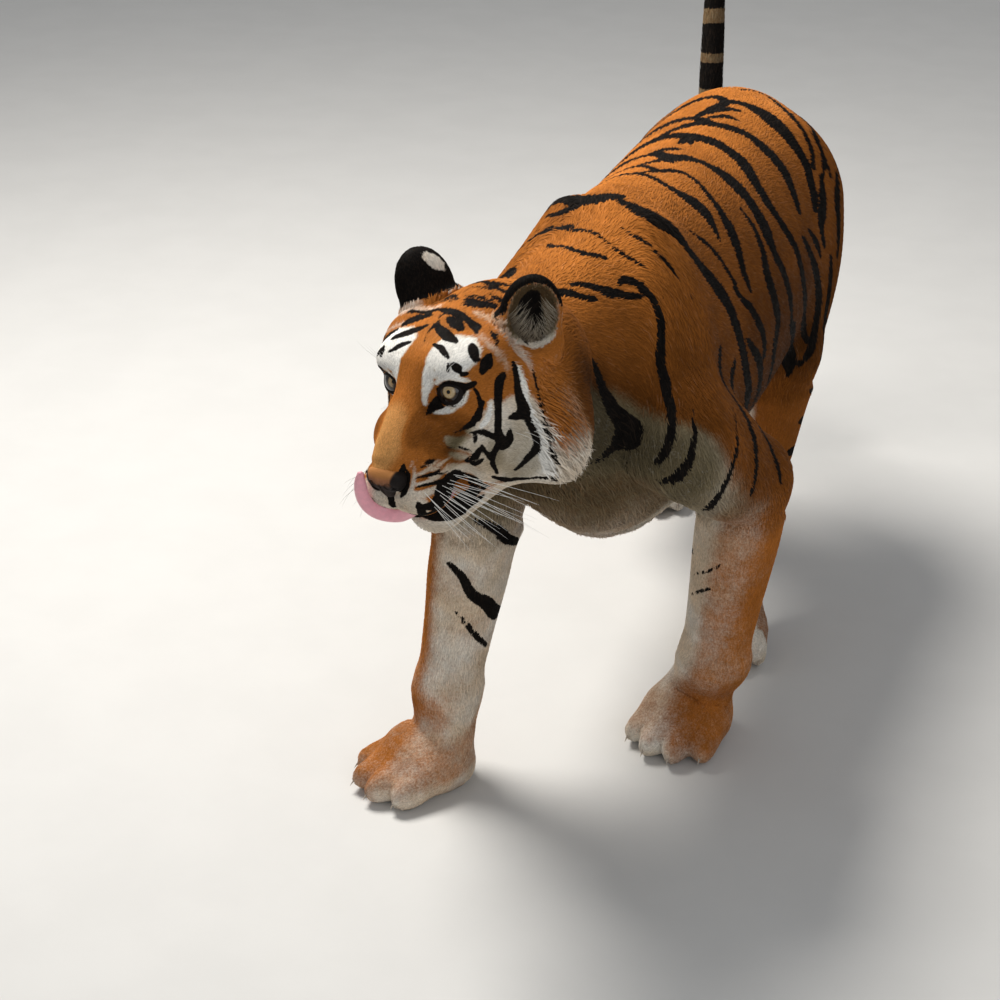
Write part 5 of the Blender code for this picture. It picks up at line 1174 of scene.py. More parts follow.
# ------------------------------------------------------------------ materials
class Nodes:
    """Short hand for a material's node tree."""
    def __init__(self, name):
        self.mat = bpy.data.materials.new(name)
        self.mat.use_nodes = True
        self.tree = self.mat.node_tree
        self.tree.nodes.clear()
        self.out = self.tree.nodes.new("ShaderNodeOutputMaterial")
        self.bsdf = self.tree.nodes.new("ShaderNodeBsdfPrincipled")
        self.link(self.bsdf.outputs[0], self.out.inputs[0])

    def link(self, a, b):
        self.tree.links.new(a, b)

    def put(self, socket, value):
        if isinstance(value, bpy.types.NodeSocket):
            self.link(value, socket)
        else:
            socket.default_value = value

    def set(self, **values):
        for k, v in values.items():
            self.put(self.bsdf.inputs[k.replace("_", " ")], v)

    def attr(self, name):
        n = self.tree.nodes.new("ShaderNodeAttribute")
        n.attribute_name = name
        s = self.tree.nodes.new("ShaderNodeSeparateXYZ")
        self.link(n.outputs["Vector"], s.inputs[0])
        return n.outputs["Vector"], s.outputs[0], s.outputs[1], s.outputs[2]

    def position(self):
        return self.tree.nodes.new("ShaderNodeTexCoord").outputs["Object"]

    def noise(self, vector, scale, detail=3.0, rough=0.55, distort=0.0):
        n = self.tree.nodes.new("ShaderNodeTexNoise")
        self.link(vector, n.inputs["Vector"])
        n.inputs["Scale"].default_value = scale
        n.inputs["Detail"].default_value = detail
        n.inputs["Roughness"].default_value = rough
        n.inputs["Distortion"].default_value = distort
        return n.outputs[0]

    def voronoi(self, vector, scale, feature="F1"):
        n = self.tree.nodes.new("ShaderNodeTexVoronoi")
        n.feature = feature
        self.link(vector, n.inputs["Vector"])
        n.inputs["Scale"].default_value = scale
        return n.outputs["Distance"]

    def math(self, op, a, b=0.0, c=0.0):
        n = self.tree.nodes.new("ShaderNodeMath")
        n.operation = op
        self.put(n.inputs[0], a)
        self.put(n.inputs[1], b)
        if len(n.inputs) > 2:
            self.put(n.inputs[2], c)
        return n.outputs[0]

    def ramp(self, value, a, b, lo=0.0, hi=1.0):
        n = self.tree.nodes.new("ShaderNodeMapRange")
        n.interpolation_type = "SMOOTHSTEP"
        for i, v in enumerate((value, a, b, lo, hi)):
            self.put(n.inputs[i], v)
        return n.outputs[0]

    def mix(self, f, a, b, blend="MIX"):
        n = self.tree.nodes.new("ShaderNodeMix")
        n.data_type = "RGBA"
        n.blend_type = blend
        self.put(n.inputs[0], f)
        for s, v in ((n.inputs[6], a), (n.inputs[7], b)):
            self.put(s, (*v, 1.0) if isinstance(v, tuple) and len(v) == 3 else v)
        return n.outputs[2]

    def scale_vec(self, v, s):
        n = self.tree.nodes.new("ShaderNodeVectorMath")
        n.operation = "MULTIPLY"
        self.link(v, n.inputs[0])
        n.inputs[1].default_value = s
        return n.outputs[0]

    def bump(self, height, strength, distance, normal=None):
        n = self.tree.nodes.new("ShaderNodeBump")
        n.inputs["Strength"].default_value = strength
        n.inputs["Distance"].default_value = distance
        self.link(height, n.inputs["Height"])
        if normal is not None:
            self.link(normal, n.inputs["Normal"])
        return n.outputs[0]


ORANGE = (0.480, 0.162, 0.030)
ORANGE_DEEP = (0.300, 0.098, 0.017)
ORANGE_PALE = (0.700, 0.350, 0.115)
CREAM = (0.700, 0.565, 0.415)
WHITE = (0.800, 0.745, 0.655)
BLACK = (0.0065, 0.0055, 0.0050)
BRIGHT = (0.900, 0.870, 0.810)


def coat_material(name, tufts):
    """Orange, cream and black coat, with painted shade and highlight from the warm amount; skin and tufts read the same
    marks.
    """
    m = Nodes(name)
    pos = m.position()
    _, dark, pale, warm_and_shade = m.attr("marks_and_shade")
    if tufts:
        _, rnd, tip, spare = m.attr("fur")
    edge = m.math("ADD", dark, m.math("MULTIPLY", m.math("SUBTRACT", m.noise(pos, 260, 2.0), 0.5), 0.22))
    edge = m.math("ADD", edge, m.math("MULTIPLY", m.math("SUBTRACT", m.noise(pos, 60, 3.0), 0.5), 0.14))
    black = m.ramp(edge, -0.045, 0.055)
    # deep to pale orange by the warm amount: its noise is the coat's own tone, its lowered parts painted shade, its
    # raise on the bridge partly a painted highlight
    rich = m.mix(m.ramp(warm_and_shade, 0.15, 0.60), ORANGE_DEEP, ORANGE)
    rich = m.mix(m.ramp(warm_and_shade, 0.60, 1.05), rich, ORANGE_PALE)
    p2 = m.math("ADD", pale, m.math("MULTIPLY", m.math("SUBTRACT", m.noise(pos, 90, 3.0), 0.5), 0.35))
    p2 = m.math("ADD", p2, m.math("MULTIPLY", m.math("SUBTRACT", m.noise(pos, 320, 2.0), 0.5), 0.45))
    light = m.mix(m.ramp(m.noise(pos, 14, 3.0), 0.30, 0.70), CREAM, WHITE)
    # where the warm amount is low, the cream takes a painted olive shade
    light = m.mix(m.ramp(warm_and_shade, 0.22, -0.70), light, (0.400, 0.315, 0.175))
    coat = m.mix(m.ramp(p2, 0.08, 0.92), rich, light)
    coat = m.mix(m.ramp(p2, 1.0, 1.35), coat, BRIGHT)
    # patchy tone, with painted shade darkening the coat where the warm amount is low
    patch = m.math("MULTIPLY", m.ramp(m.noise(pos, 30, 4.0), 0.25, 0.80, 0.88, 1.10), m.ramp(warm_and_shade, -1.0, 0.20, 0.20, 1.0))
    coat = m.mix(1.0, coat, patch, "MULTIPLY")
    if tufts:
        # each tuft's own tone at random, and painted shade darker toward its root
        shade = m.math("MULTIPLY", m.ramp(rnd, 0.0, 1.0, 0.88, 1.10), m.ramp(tip, 0.0, 0.75, 0.84, 1.04))
        coat = m.mix(1.0, coat, shade, "MULTIPLY")
        coat = m.mix(m.math("MULTIPLY", m.ramp(rnd, 0.88, 1.0), 0.03), coat, WHITE)
        coat = m.mix(m.math("MULTIPLY", m.ramp(rnd, 0.10, 0.0), 0.25), coat, BLACK)
        ink = m.mix(m.ramp(rnd, 0.4, 1.0), BLACK, (0.017, 0.012, 0.009))
    else:
        coat = m.mix(1.0, coat, m.ramp(m.noise(pos, 320, 3.0), 0.2, 0.8, 0.68, 0.95), "MULTIPLY")
        ink = m.mix(m.ramp(m.noise(pos, 160, 2.0), 0.4, 0.8), BLACK, (0.014, 0.011, 0.009))
    m.set(Base_Color=m.mix(black, coat, ink))
    m.set(Roughness=m.ramp(m.noise(pos, 80, 2.0), 0.3, 0.7, 0.52, 0.72))
    m.bsdf.inputs["Specular IOR Level"].default_value = 0.02
    m.bsdf.inputs["Sheen Weight"].default_value = 0.006
    m.bsdf.inputs["Sheen Roughness"].default_value = 0.45
    if not tufts:
        strand, _, _, _ = m.attr("strand")
        hairs = m.math("ADD", m.noise(strand, 900, 2.0, 0.6), m.math("MULTIPLY", m.noise(strand, 350, 2.0, 0.6), 1.3))
        m.set(Normal=m.bump(hairs, 0.9, 0.0012))
    return m.mat


def leather_material(name, base, dark, rough, pebble, depth, coat=0.2, spec=0.5, blotch=0.20):
    m = Nodes(name)
    pos = m.position()
    _, d, w, _ = m.attr("marks_and_shade")
    tone = m.ramp(m.noise(pos, 160, 4.0), 0.3, 0.75, 1.0 - 1.1 * blotch, 1.0 + 0.6 * blotch)
    col = m.mix(1.0, base, tone, "MULTIPLY")
    spots = m.ramp(m.noise(pos, 260, 3.0, 0.6, 0.8), 0.58, 0.74)
    col = m.mix(m.math("MULTIPLY", spots, blotch), col, dark)
    col = m.mix(w, col, (0.490, 0.205, 0.060))
    m.set(Base_Color=m.mix(m.ramp(d, 0.0, 1.0), col, dark))
    cells = m.voronoi(pos, pebble)
    m.set(Roughness=m.ramp(cells, 0.0, 0.6, rough, rough + 0.16))
    m.bsdf.inputs["Specular IOR Level"].default_value = spec
    m.bsdf.inputs["Coat Weight"].default_value = coat
    m.bsdf.inputs["Coat Roughness"].default_value = 0.25
    h = m.math("ADD", m.math("MULTIPLY", cells, -1.0), m.math("MULTIPLY", m.noise(pos, 90, 4.0), 0.8))
    m.set(Normal=m.bump(h, 0.8, depth))
    return m.mat


def eye_material():
    """Iris, pupil and white by the angle from the line of sight."""
    m = Nodes("eye")
    v, r, a, dark = m.attr("ring")          # r: mm from the pupil's centre; a: turns round it
    fib, _, _, _ = m.attr("fibre")
    fine = m.noise(fib, 6.0, 4.0, 0.6, 0.4)
    iris = m.mix(m.ramp(fine, 0.35, 0.70), (0.260, 0.175, 0.085), (0.680, 0.530, 0.320))
    iris = m.mix(m.ramp(r, 5.0, 2.4), iris, (0.440, 0.280, 0.110))
    iris = m.mix(m.ramp(r, 7.2, 9.2), iris, (0.110, 0.062, 0.018))
    edge = m.math("ADD", r, m.math("MULTIPLY", m.math("SUBTRACT", fine, 0.5), 0.7))
    col = m.mix(m.ramp(edge, 2.25, 2.75), (0.003, 0.003, 0.003), iris)
    veins = m.ramp(m.noise(m.position(), 420, 5.0, 0.65, 1.5), 0.56, 0.70)
    white = m.mix(m.math("MULTIPLY", veins, 0.30), (0.016, 0.010, 0.008), (0.010, 0.006, 0.005))
    col = m.mix(m.ramp(r, 9.1, 9.9), col, white)
    col = m.mix(dark, col, (0.030, 0.018, 0.012))
    m.set(Base_Color=col, Roughness=0.22)
    m.bsdf.inputs["IOR"].default_value = 1.38
    m.bsdf.inputs["Specular IOR Level"].default_value = 0.25
    m.bsdf.inputs["Coat Weight"].default_value = 0.45
    m.bsdf.inputs["Coat Roughness"].default_value = 0.025
    m.set(Normal=m.bump(fine, 0.25, 0.0004))
    return m.mat


def hair_material(name, root, tip, rough=0.4):
    m = Nodes(name)
    _, t, rnd, _ = m.attr("fur")
    col = m.mix(m.ramp(t, 0.0, 1.0), root, tip)
    col = m.mix(1.0, col, m.ramp(m.noise(m.position(), 300, 2.0), 0.2, 0.8, 0.85, 1.1), "MULTIPLY")
    m.set(Base_Color=col, Roughness=m.ramp(m.noise(m.position(), 500, 2.0), 0.3, 0.7, rough, rough + 0.2))
    m.bsdf.inputs["Specular IOR Level"].default_value = 0.5
    return m.mat


SKIN_MAT = coat_material("striped_fur_skin", False)
TUFT_MAT = coat_material("striped_fur", True)
NOSE_MAT = leather_material("nose", (0.370, 0.150, 0.065), (0.010, 0.007, 0.006), 0.52, 1500, 0.0005, 0.03, 0.14)
LID_MAT = leather_material("eyelid", (0.012, 0.009, 0.008), (0.005, 0.004, 0.004), 0.55, 1900, 0.0003, 0.0, 0.10)
LIP_MAT = leather_material("lip", (0.030, 0.018, 0.017), (0.010, 0.008, 0.008), 0.38, 1200, 0.0004, 0.35)
TONGUE_MAT = leather_material("tongue", (0.900, 0.380, 0.450), (0.560, 0.170, 0.215), 0.32, 1150, 0.0009, 0.60, blotch=0.08)
EYE_MAT = eye_material()
WHISKER_MAT = hair_material("whisker", (0.80, 0.78, 0.72), (0.90, 0.88, 0.84))
EARHAIR_MAT = hair_material("ear_fur", (0.17, 0.13, 0.085), (0.46, 0.39, 0.29), 0.6)
CLAW_MAT = hair_material("claw", (0.16, 0.12, 0.09), (0.40, 0.34, 0.27), 0.3)


# ----------------------------------------------------------- skin and coat
SKIN_VOXEL = 0.0086
skin, P, DIST, NRM, DEPTH = make_skin(SKIN_MAT)
skin.name = "skin"
SURFACE = P + NRM * DEPTH[:, None]              # where the tips of the coat are
dark, pale, warm_and_shade, head_w, tail_w, arc, theta = body_marks_and_shade(SURFACE, DIST, unit(NRM))
# the third column, the warm amount, carries painted shade and highlight as well as the coat's own tone
MARKS_AND_SHADE = np.stack([np.clip(dark / 0.010, -1, 1), pale, warm_and_shade], 1)
attribute(skin.data, "marks_and_shade", "FLOAT_VECTOR", MARKS_AND_SHADE)
q_head = HEAD.local(P)
strand = P * np.array([1, 0.15, 1])
low_leg = smooth(-P[:, 2], -0.50, -0.40)[:, None]
strand = strand * (1 - low_leg) + P * np.array([1, 1, 0.15]) * low_leg
strand = np.where(head_w[:, None] > 0.5, q_head * np.array([1, 0.2, 1]), strand)
strand = np.where(tail_w[:, None] > 0.5, P * np.array([1, 0.5, 0.5]), strand)
attribute(skin.data, "strand", "FLOAT_VECTOR", strand)
skin.data.materials.append(SKIN_MAT)

# lie of the hair at each vertex
NRM = unit(NRM)
FLOW = flow_of(P)
at = np.abs(theta)
down = smooth(at, 15, 70) * (1 - head_w) * (1 - tail_w) * 0.75 * (P[:, 2] > 0.30)
FLOW = unit(FLOW) + np.array([0, 0, -1.0]) * down[:, None]
qa = np.stack([np.abs(q_head[:, 0]), q_head[:, 1], q_head[:, 2]], 1)
hang = smooth(-np.linalg.norm((qa - [0.122, -0.020, -0.050]) / [0.060, 0.062, 0.120], axis=1), -1.2, -0.6) * (head_w > 0.2)
FLOW += HEAD.vec(np.stack([0.10 * np.sign(q_head[:, 0]), 0.10 + 0 * q_head[:, 0], -1.0 + 0 * q_head[:, 0]], 1)) * (2.2 * hang)[:, None]
FLOW += 0.16 * np.stack([waves(P, 9, 61), waves(P, 9, 62), waves(P, 9, 63)], 1)
FLOW = unit(FLOW - NRM * (FLOW * NRM).sum(1, keepdims=True))
LENGTH, WIDTH, LIFT, DENSITY = hair(P, DIST, head_w, tail_w, arc, theta)
# the stripe at a tuft's root and tip, so that its colour turns along it
ENDS = np.stack([np.clip(body_marks_and_shade(SURFACE + FLOW * (k * LENGTH)[:, None], DIST, unit(NRM))[0] / 0.010, -1, 1) for k in (-0.34, 0.44)], 1)


def region_of(p, dist, head_w, tail_w):
    """Which coat piece a point belongs to."""
    out = np.full(len(p), 0)
    y = p[:, 1]
    x = p[:, 0]
    out = np.where(y > 0.50, 2, np.where(y > 0.12, 1, 0)) * 2 + (x > np.interp(y, ROWS[:, 1], ROWS[:, 0]))
    low = p[:, 2] < 0.44
    out = np.where(low & (y < 0.32), np.where(x > -0.03, 6, 7), out)
    out = np.where(low & (y >= 0.32), np.where(x > 0.0, 8, 9), out)
    out = np.where(tail_w > 0.5, 10, out)
    q = HEAD.local(p)
    out = np.where(head_w > 0.5, np.where(q[:, 1] < -0.05, 11, 12) + 2 * (q[:, 0] > 0), out)
    return out


NAMES = ["coat_shoulder_right", "coat_shoulder_left", "coat_barrel_right", "coat_barrel_left", "coat_rump_right", "coat_rump_left",
         "coat_foreleg_left", "coat_foreleg_right", "coat_hindleg_left", "coat_hindleg_right", "coat_tail",
         "coat_face_right", "coat_ruff_right", "coat_face_left", "coat_ruff_left"]
TOTAL = 262000
(C, N, F, L, W, LF, MK, AR, TH, EN), _ = scatter(skin, P, [P, NRM, FLOW, LENGTH, WIDTH, LIFT, MARKS_AND_SHADE, arc, theta, ENDS], DENSITY, TOTAL)
N, F = unit(N), unit(F)
F = unit(F + 0.16 * RNG.normal(size=F.shape))
F = unit(F - N * (F * N).sum(1, keepdims=True))
L = L * RNG.uniform(0.80, 1.20, len(L))
W = W * RNG.uniform(0.8, 1.2, len(W))
dist_c = {k: np.zeros(len(C)) + 1 for k in GROUPS}
hq = HEAD.local(C)
hw = np.zeros(len(C))
tri_hw, tri_tw = head_w, tail_w
(HW, TW), _ = (None, None), None
hw_near = smooth(hq[:, 1], 0.13, 0.05) * (np.linalg.norm(hq, axis=1) < 0.30)
tw_near = ((C[:, 1] > 0.955) & ((C[:, 2] > 0.47) | (C[:, 1] > 1.12))).astype(float)
REG = region_of(C, None, hw_near, tw_near)


def chart(i, c, arc, th):
    """Unwrap of the skin's own shape for one coat piece, filling the unit square."""
    if i <= 5:
        uv = np.stack([c[:, 1], th / 180.0 * 0.75], 1)
    elif i <= 9:
        cx = np.interp(c[:, 2], [0.0, 0.15, 0.45], {6: [0.115, 0.150, 0.192], 7: [-0.24, -0.222, -0.178], 8: [0.125, 0.135, 0.165], 9: [-0.115, -0.105, -0.125]}[i])
        cy = np.interp(c[:, 2], [0.0, 0.15, 0.25, 0.45], {6: [0.12, 0.11, 0.10, 0.08], 7: [-0.115, -0.085, -0.08, -0.06], 8: [0.42, 0.52, 0.59, 0.60], 9: [0.96, 1.00, 1.02, 0.80]}[i])
        uv = np.stack([np.degrees(np.arctan2(c[:, 0] - cx, c[:, 1] - cy)) / 180.0 * 0.25, c[:, 2]], 1)
    elif i == 10:
        idx, fr = TAIL.nearest(c)
        px, pu, _, _, _ = TAIL.coords(c)
        uv = np.stack([np.arctan2(px, pu) / 3.15 * 0.12, arc], 1)
    else:
        q = HEAD.local(c)
        r = np.linalg.norm(q - [0, 0, -0.02], axis=1)
        uv = np.stack([np.arctan2(q[:, 0], -q[:, 1] + 0.02), np.arcsin(np.clip((q[:, 2] + 0.02) / r, -1, 1))], 1)
    lo, hi = uv.min(0), uv.max(0)
    return (uv - lo) / np.maximum(hi - lo, 1e-6)


MOST = 39500
for i, name in enumerate(NAMES):
    sel = np.where(REG == i)[0]
    if not len(sel):
        continue
    for j, part in enumerate(np.array_split(sel, int(np.ceil(len(sel) / MOST)))):
        piece = tuft_piece(name + ("" if j == 0 else "_%d" % (j + 1)), TUFT_MAT, C[part], N[part], F[part], L[part], W[part], LF[part], MK[part], EN[part], chart(i, C[part], AR[part], TH[part]))
        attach(piece, "root")

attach(skin, "root")
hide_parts("head", "jaw", "neck", "trunk", "tail_1", "tail_2", "tail_3", "ear_left", "ear_right",
            "foreleg_left_upper", "foreleg_left_forearm", "foreleg_left_paw", "foreleg_right_upper", "foreleg_right_forearm", "foreleg_right_paw",
            "hindleg_left_thigh", "hindleg_left_shank", "hindleg_left_foot", "hindleg_right_thigh", "hindleg_right_shank", "hindleg_right_foot")


# ----------------------------------------------------------------------- eyes
def camera_frame():
    az, el = math.radians(15.6668), math.radians(26.0013)
    back = np.array([math.sin(az) * math.cos(el), -math.cos(az) * math.cos(el), math.sin(el)])
    right = np.array([math.cos(az), math.sin(az), 0.0])
    up = np.cross(back, right)
    loc = np.array([0, 0, 0.5]) + back * 3.198 - right * (608.0953 - 500) / 2200 * 3.198 - up * (500 - 471.0083) / 2200 * 3.198
    return loc, right, up, back


CAM_LOC, CAM_RIGHT, CAM_UP, CAM_BACK = camera_frame()


def eye(side, gaze):
    """Eyeball with a cornea, its pole on the line of sight."""
    c = HEAD.world(np.array(EYE_C) * [side, 1, 1])
    g = gaze / np.linalg.norm(gaze)
    x = np.cross(g, [0, 0, 1.0])
    x /= np.linalg.norm(x)
    y = np.cross(x, g)
    nu, nr = 96, 64
    co, ring, fibre, faces = [c + g * (EYE_R + 0.0007)], [(0, 0, 0)], [(0, 0, 0)], []
    for i in range(1, nr + 1):
        th = math.pi * 0.72 * i / nr
        bulge = 0.0007 * max(0.0, 1 - (th / 0.62) ** 2) ** 2
        for j in range(nu):
            a = 2 * math.pi * j / nu
            d = g * math.cos(th) + (x * math.cos(a) + y * math.sin(a)) * math.sin(th)
            co.append(c + d * (EYE_R + bulge))
            mm = EYE_R * 1000 * th
            ring.append((mm / 0.94, j / nu, 0.0))
            fibre.append((math.cos(a) * 4.0, math.sin(a) * 4.0, mm * 0.12))
    for j in range(nu):
        faces.append((0, 1 + j, 1 + (j + 1) % nu))
    for i in range(nr - 1):
        for j in range(nu):
            a, b = 1 + i * nu + j, 1 + i * nu + (j + 1) % nu
            faces.append((a, a + nu, b + nu, b))
    ring = np.array(ring)
    co = np.array(co)
    ql = HEAD.local(co) * [side, 1, 1]
    away = (ql - np.array(EYE_C)) @ (LID_H / np.linalg.norm(LID_H))
    ring[:, 2] = np.maximum(smooth(-away, 0.0100, 0.0135), smooth(away, 0.0125, 0.0150))
    obj = mesh_from("eye_%s" % ("left" if side > 0 else "right"), co, faces, EYE_MAT)
    attribute(obj.data, "ring", "FLOAT_VECTOR", ring)
    attribute(obj.data, "fibre", "FLOAT_VECTOR", fibre)
    node = "eye_left" if side > 0 else "eye_right"
    obj.name = "eyeball_left" if side > 0 else "eyeball_right"
    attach(obj, "root")
    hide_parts(node)
    return obj


LID_A = np.array([0.45, -0.89, 0.05])
LID_A /= np.linalg.norm(LID_A)
LID_H = np.array([0.867, 0.451, 0.211])
LID_H -= LID_A * (LID_H @ LID_A)
LID_H /= np.linalg.norm(LID_H)
LID_V = np.cross(LID_H, LID_A)
if LID_V[2] < 0:
    LID_V = -LID_V


def lids(side):
    """Ring of bare dark skin round the eye: margin on the eyeball, then out under the coat."""
    n = 72
    c = np.array(EYE_C)
    rows = []
    # (scale of the opening, distance from the eye's centre)
    for scale, radius in ((0.97, EYE_R - 0.0004), (0.985, EYE_R + 0.0006), (1.03, EYE_R + 0.0016), (1.12, EYE_R + 0.0021), (1.25, EYE_R + 0.0019), (1.42, EYE_R + 0.0010), (1.62, EYE_R - 0.0010), (1.85, EYE_R - 0.0050)):
        ring = []
        for j in range(n):
            a = 2 * math.pi * j / n
            ca, sa = math.cos(a), math.sin(a)
            h = 0.0168 * ca
            v = (0.0108 if sa > 0 else 0.0100) * sa * (1 - 0.25 * ca * ca)
            v += -0.0022 * max(0.0, -ca) ** 3          # the inner corner dips
            grow_h, grow_v = 0.0168 * (scale - 1) * ca, 0.0150 * (scale - 1) * sa
            u = (h + grow_h - 0.0036) * LID_H + (v + grow_v + 0.0042) * LID_V
            s = np.linalg.norm(u)
            ang = min(s / EYE_R, 1.45)
            d = LID_A * math.cos(ang) + u / max(s, 1e-9) * math.sin(ang)
            ring.append(HEAD.world((c + d * radius) * [side, 1, 1]))
        rows.append(ring)
    co = np.array(rows).reshape(-1, 3)
    faces = []
    for i in range(len(rows) - 1):
        for j in range(n):
            a, b = i * n + j, i * n + (j + 1) % n
            faces.append((a, b, b + n, a + n) if side < 0 else (a, a + n, b + n, b))
    obj = mesh_from("eyelid_%s" % ("left" if side > 0 else "right"), co, faces, LID_MAT)
    attribute(obj.data, "marks_and_shade", "FLOAT_VECTOR", np.tile([0.2, 0, 0], (len(co), 1)))
    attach(obj, "root")
    return obj


def gaze_of(px, py):
    """Direction from the left eye's centre to the point of it seen at the given place of the frame."""
    ray = CAM_RIGHT * (px - 500) / 2200 + CAM_UP * (500 - py) / 2200 - CAM_BACK
    ray /= np.linalg.norm(ray)
    c = HEAD.world(EYE_C)
    b = (CAM_LOC - c) @ ray
    h = b * b - ((CAM_LOC - c) @ (CAM_LOC - c) - EYE_R ** 2)
    return CAM_LOC + ray * (-b - math.sqrt(max(h, 0))) - c


GAZE = gaze_of(448.5, 392.0)
for s in (1, -1):
    eye(s, GAZE)
    lids(s)


# ------------------------------------------------------------ nose and tongue
def solid_of(name, parts, voxel, mat, steps=4):
    obj = seed_object(parts, name, PIECES, voxel, voxel * 0.4)
    p = project(coords_of(obj.data), parts, steps, 0.0, 0.004)
    return obj, p


NOSE_PARTS = [
    Blob((0, -0.2035, -0.0250), (0.0262, 0.0120, 0.0170), k=0.005, frame=HEAD, tag="nose"),
    Blob((0.0170, -0.1990, -0.0280), (0.0118, 0.0120, 0.0125), k=0.006, mirror=True, frame=HEAD, tag="nose"),
    Blob((0, -0.2020, -0.0410), (0.0100, 0.0090, 0.0120), k=0.007, frame=HEAD, tag="nose"),
    Blob((0.0125, -0.2140, -0.0285), (0.0052, 0.0080, 0.0042), k=0.003, mirror=True, frame=HEAD, sub=True, tag="nose"),
    Tube([(0.0130, -0.2130, -0.0300, 0.0024), (0.0210, -0.2080, -0.0330, 0.0018), (0.0265, -0.2010, -0.0310, 0.0012)], k=0.002, mirror=True, frame=HEAD, sub=True, tag="nose", n=6, sides=8),
    Blob((0, -0.2150, -0.0400), (0.0010, 0.0040, 0.0150), k=0.0025, frame=HEAD, sub=True, tag="nose"),
]
nose, np_co = solid_of("nose_leather", NOSE_PARTS, 0.0011, NOSE_MAT)
qn = HEAD.local(np_co)
set_coords(nose.data, np_co - SHIFT)
nose.data.shade_smooth()
ax = np.abs(qn[:, 0])
nostril = np.linalg.norm((np.stack([ax, qn[:, 1], qn[:, 2]], 1) - [0.0128, -0.2090, -0.0288]) / [0.0062, 0.0090, 0.0052], axis=1)
slit = stroke_field(np.stack([ax, qn[:, 1], qn[:, 2]], 1), [((0.0130, -0.2130, -0.0300, 4.6), (0.0210, -0.2080, -0.0330, 3.8), (0.0265, -0.2010, -0.0310, 2.4))])
# the leather is darker toward its lower edge; the wings' black is its dark rim, deepened by painted shadow in the
# grooves beside the nostrils
lower = smooth(-qn[:, 2], 0.0215, 0.0300)
fade = np.maximum(0.45 * smooth(-qn[:, 2], 0.0150, 0.0260), 0.98 * smooth(ax - 0.45 * (qn[:, 2] + 0.018), 0.0160, 0.0215))
nd = np.maximum(np.maximum(smooth(-nostril, -1.20, -0.85), smooth(slit, -0.0008, 0.0006)), np.maximum(0.92 * lower, fade))
top = smooth(qn[:, 2], -0.0215, -0.0130)
attribute(nose.data, "marks_and_shade", "FLOAT_VECTOR", np.stack([nd, top, 0 * nd], 1))
nose.data.materials.append(NOSE_MAT)
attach(nose, "root")
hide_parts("nose")

TONGUE = [(0.014, -0.130, -0.090, 0.8), (0.016, -0.155, -0.090, 1.0), (0.013, -0.178, -0.089, 0.85), (0.000, -0.1925, -0.088, 0.70), (-0.0165, -0.2015, -0.085, 0.64), (-0.0270, -0.2095, -0.078, 0.60), (-0.0322, -0.2155, -0.067, 0.56), (-0.0335, -0.2185, -0.054, 0.54), (-0.0318, -0.2195, -0.040, 0.50), (-0.0285, -0.2185, -0.026, 0.42), (-0.0250, -0.2155, -0.014, 0.24)]
tp = Tube([(x, y, z, TONGUE_WIDTH / 2 * k, 0.0036, 0.0036) for x, y, z, k in TONGUE], frame=HEAD, up=(0, 1, 1), n=60, sides=40, tag="tongue")
# its broad face turns outwards as it curls up past the nose
face_to = np.cross(tp.t, np.array([0.638, -0.556, 0.533]))
face_to = unit(face_to)
for i in range(58, -1, -1):
    if face_to[i] @ face_to[i + 1] < 0:
        face_to[i] = -face_to[i]
if (face_to[-1] @ tp.x[-1]) < 0:
    face_to = -face_to
turn = smooth(np.linspace(0, 1, 60), 0.18, 0.42)[:, None]
tx = unit(tp.x * (1 - 0.62 * turn) + 0.80 * turn * face_to)
tx = unit(tx - tp.t * (tx * tp.t).sum(1, keepdims=True))
tu = np.cross(tx, tp.t)
rows = []
sides = 48
for i in range(60):
    ring = []
    for j in range(sides):
        a = 2 * math.pi * j / sides
        ca, sa = math.cos(a), math.sin(a)
        half = tp.a[i] * (1 - 0.16 * turn[i, 0])
        thick = tp.bt[i] * (0.72 + 0.28 * abs(sa))
        x = half * (abs(ca) ** 0.85) * (1 if ca > 0 else -1)
        u = thick * sa
        u += 0.0016 * (x / half) ** 2 * half / 0.02 * 1.0          # edges turn up a little
        if sa > 0:
            u -= 0.0011 * math.exp(-(x / 0.0022) ** 2)              # middle groove
        ring.append(tp.p[i] + tx[i] * x + tu[i] * u)
    rows.append(ring)
rows = np.array(rows)
tip_c = rows[-1].mean(0)
co = [HEAD.world(v) for v in rows.reshape(-1, 3)] + [HEAD.world(rows[0].mean(0)), HEAD.world(tip_c + tp.t[-1] * 0.003)]
faces = [(i * sides + j, i * sides + (j + 1) % sides, (i + 1) * sides + (j + 1) % sides, (i + 1) * sides + j) for i in range(59) for j in range(sides)]
faces += [(60 * sides, (j + 1) % sides, j) for j in range(sides)]
faces += [(60 * sides + 1, 59 * sides + j, 59 * sides + (j + 1) % sides) for j in range(sides)]
tongue = mesh_from("tongue_flesh", co, faces, TONGUE_MAT)
attribute(tongue.data, "marks_and_shade", "FLOAT_VECTOR", np.tile([0.0, 0, 0], (len(co), 1)))
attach(tongue, "root")
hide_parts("tongue")


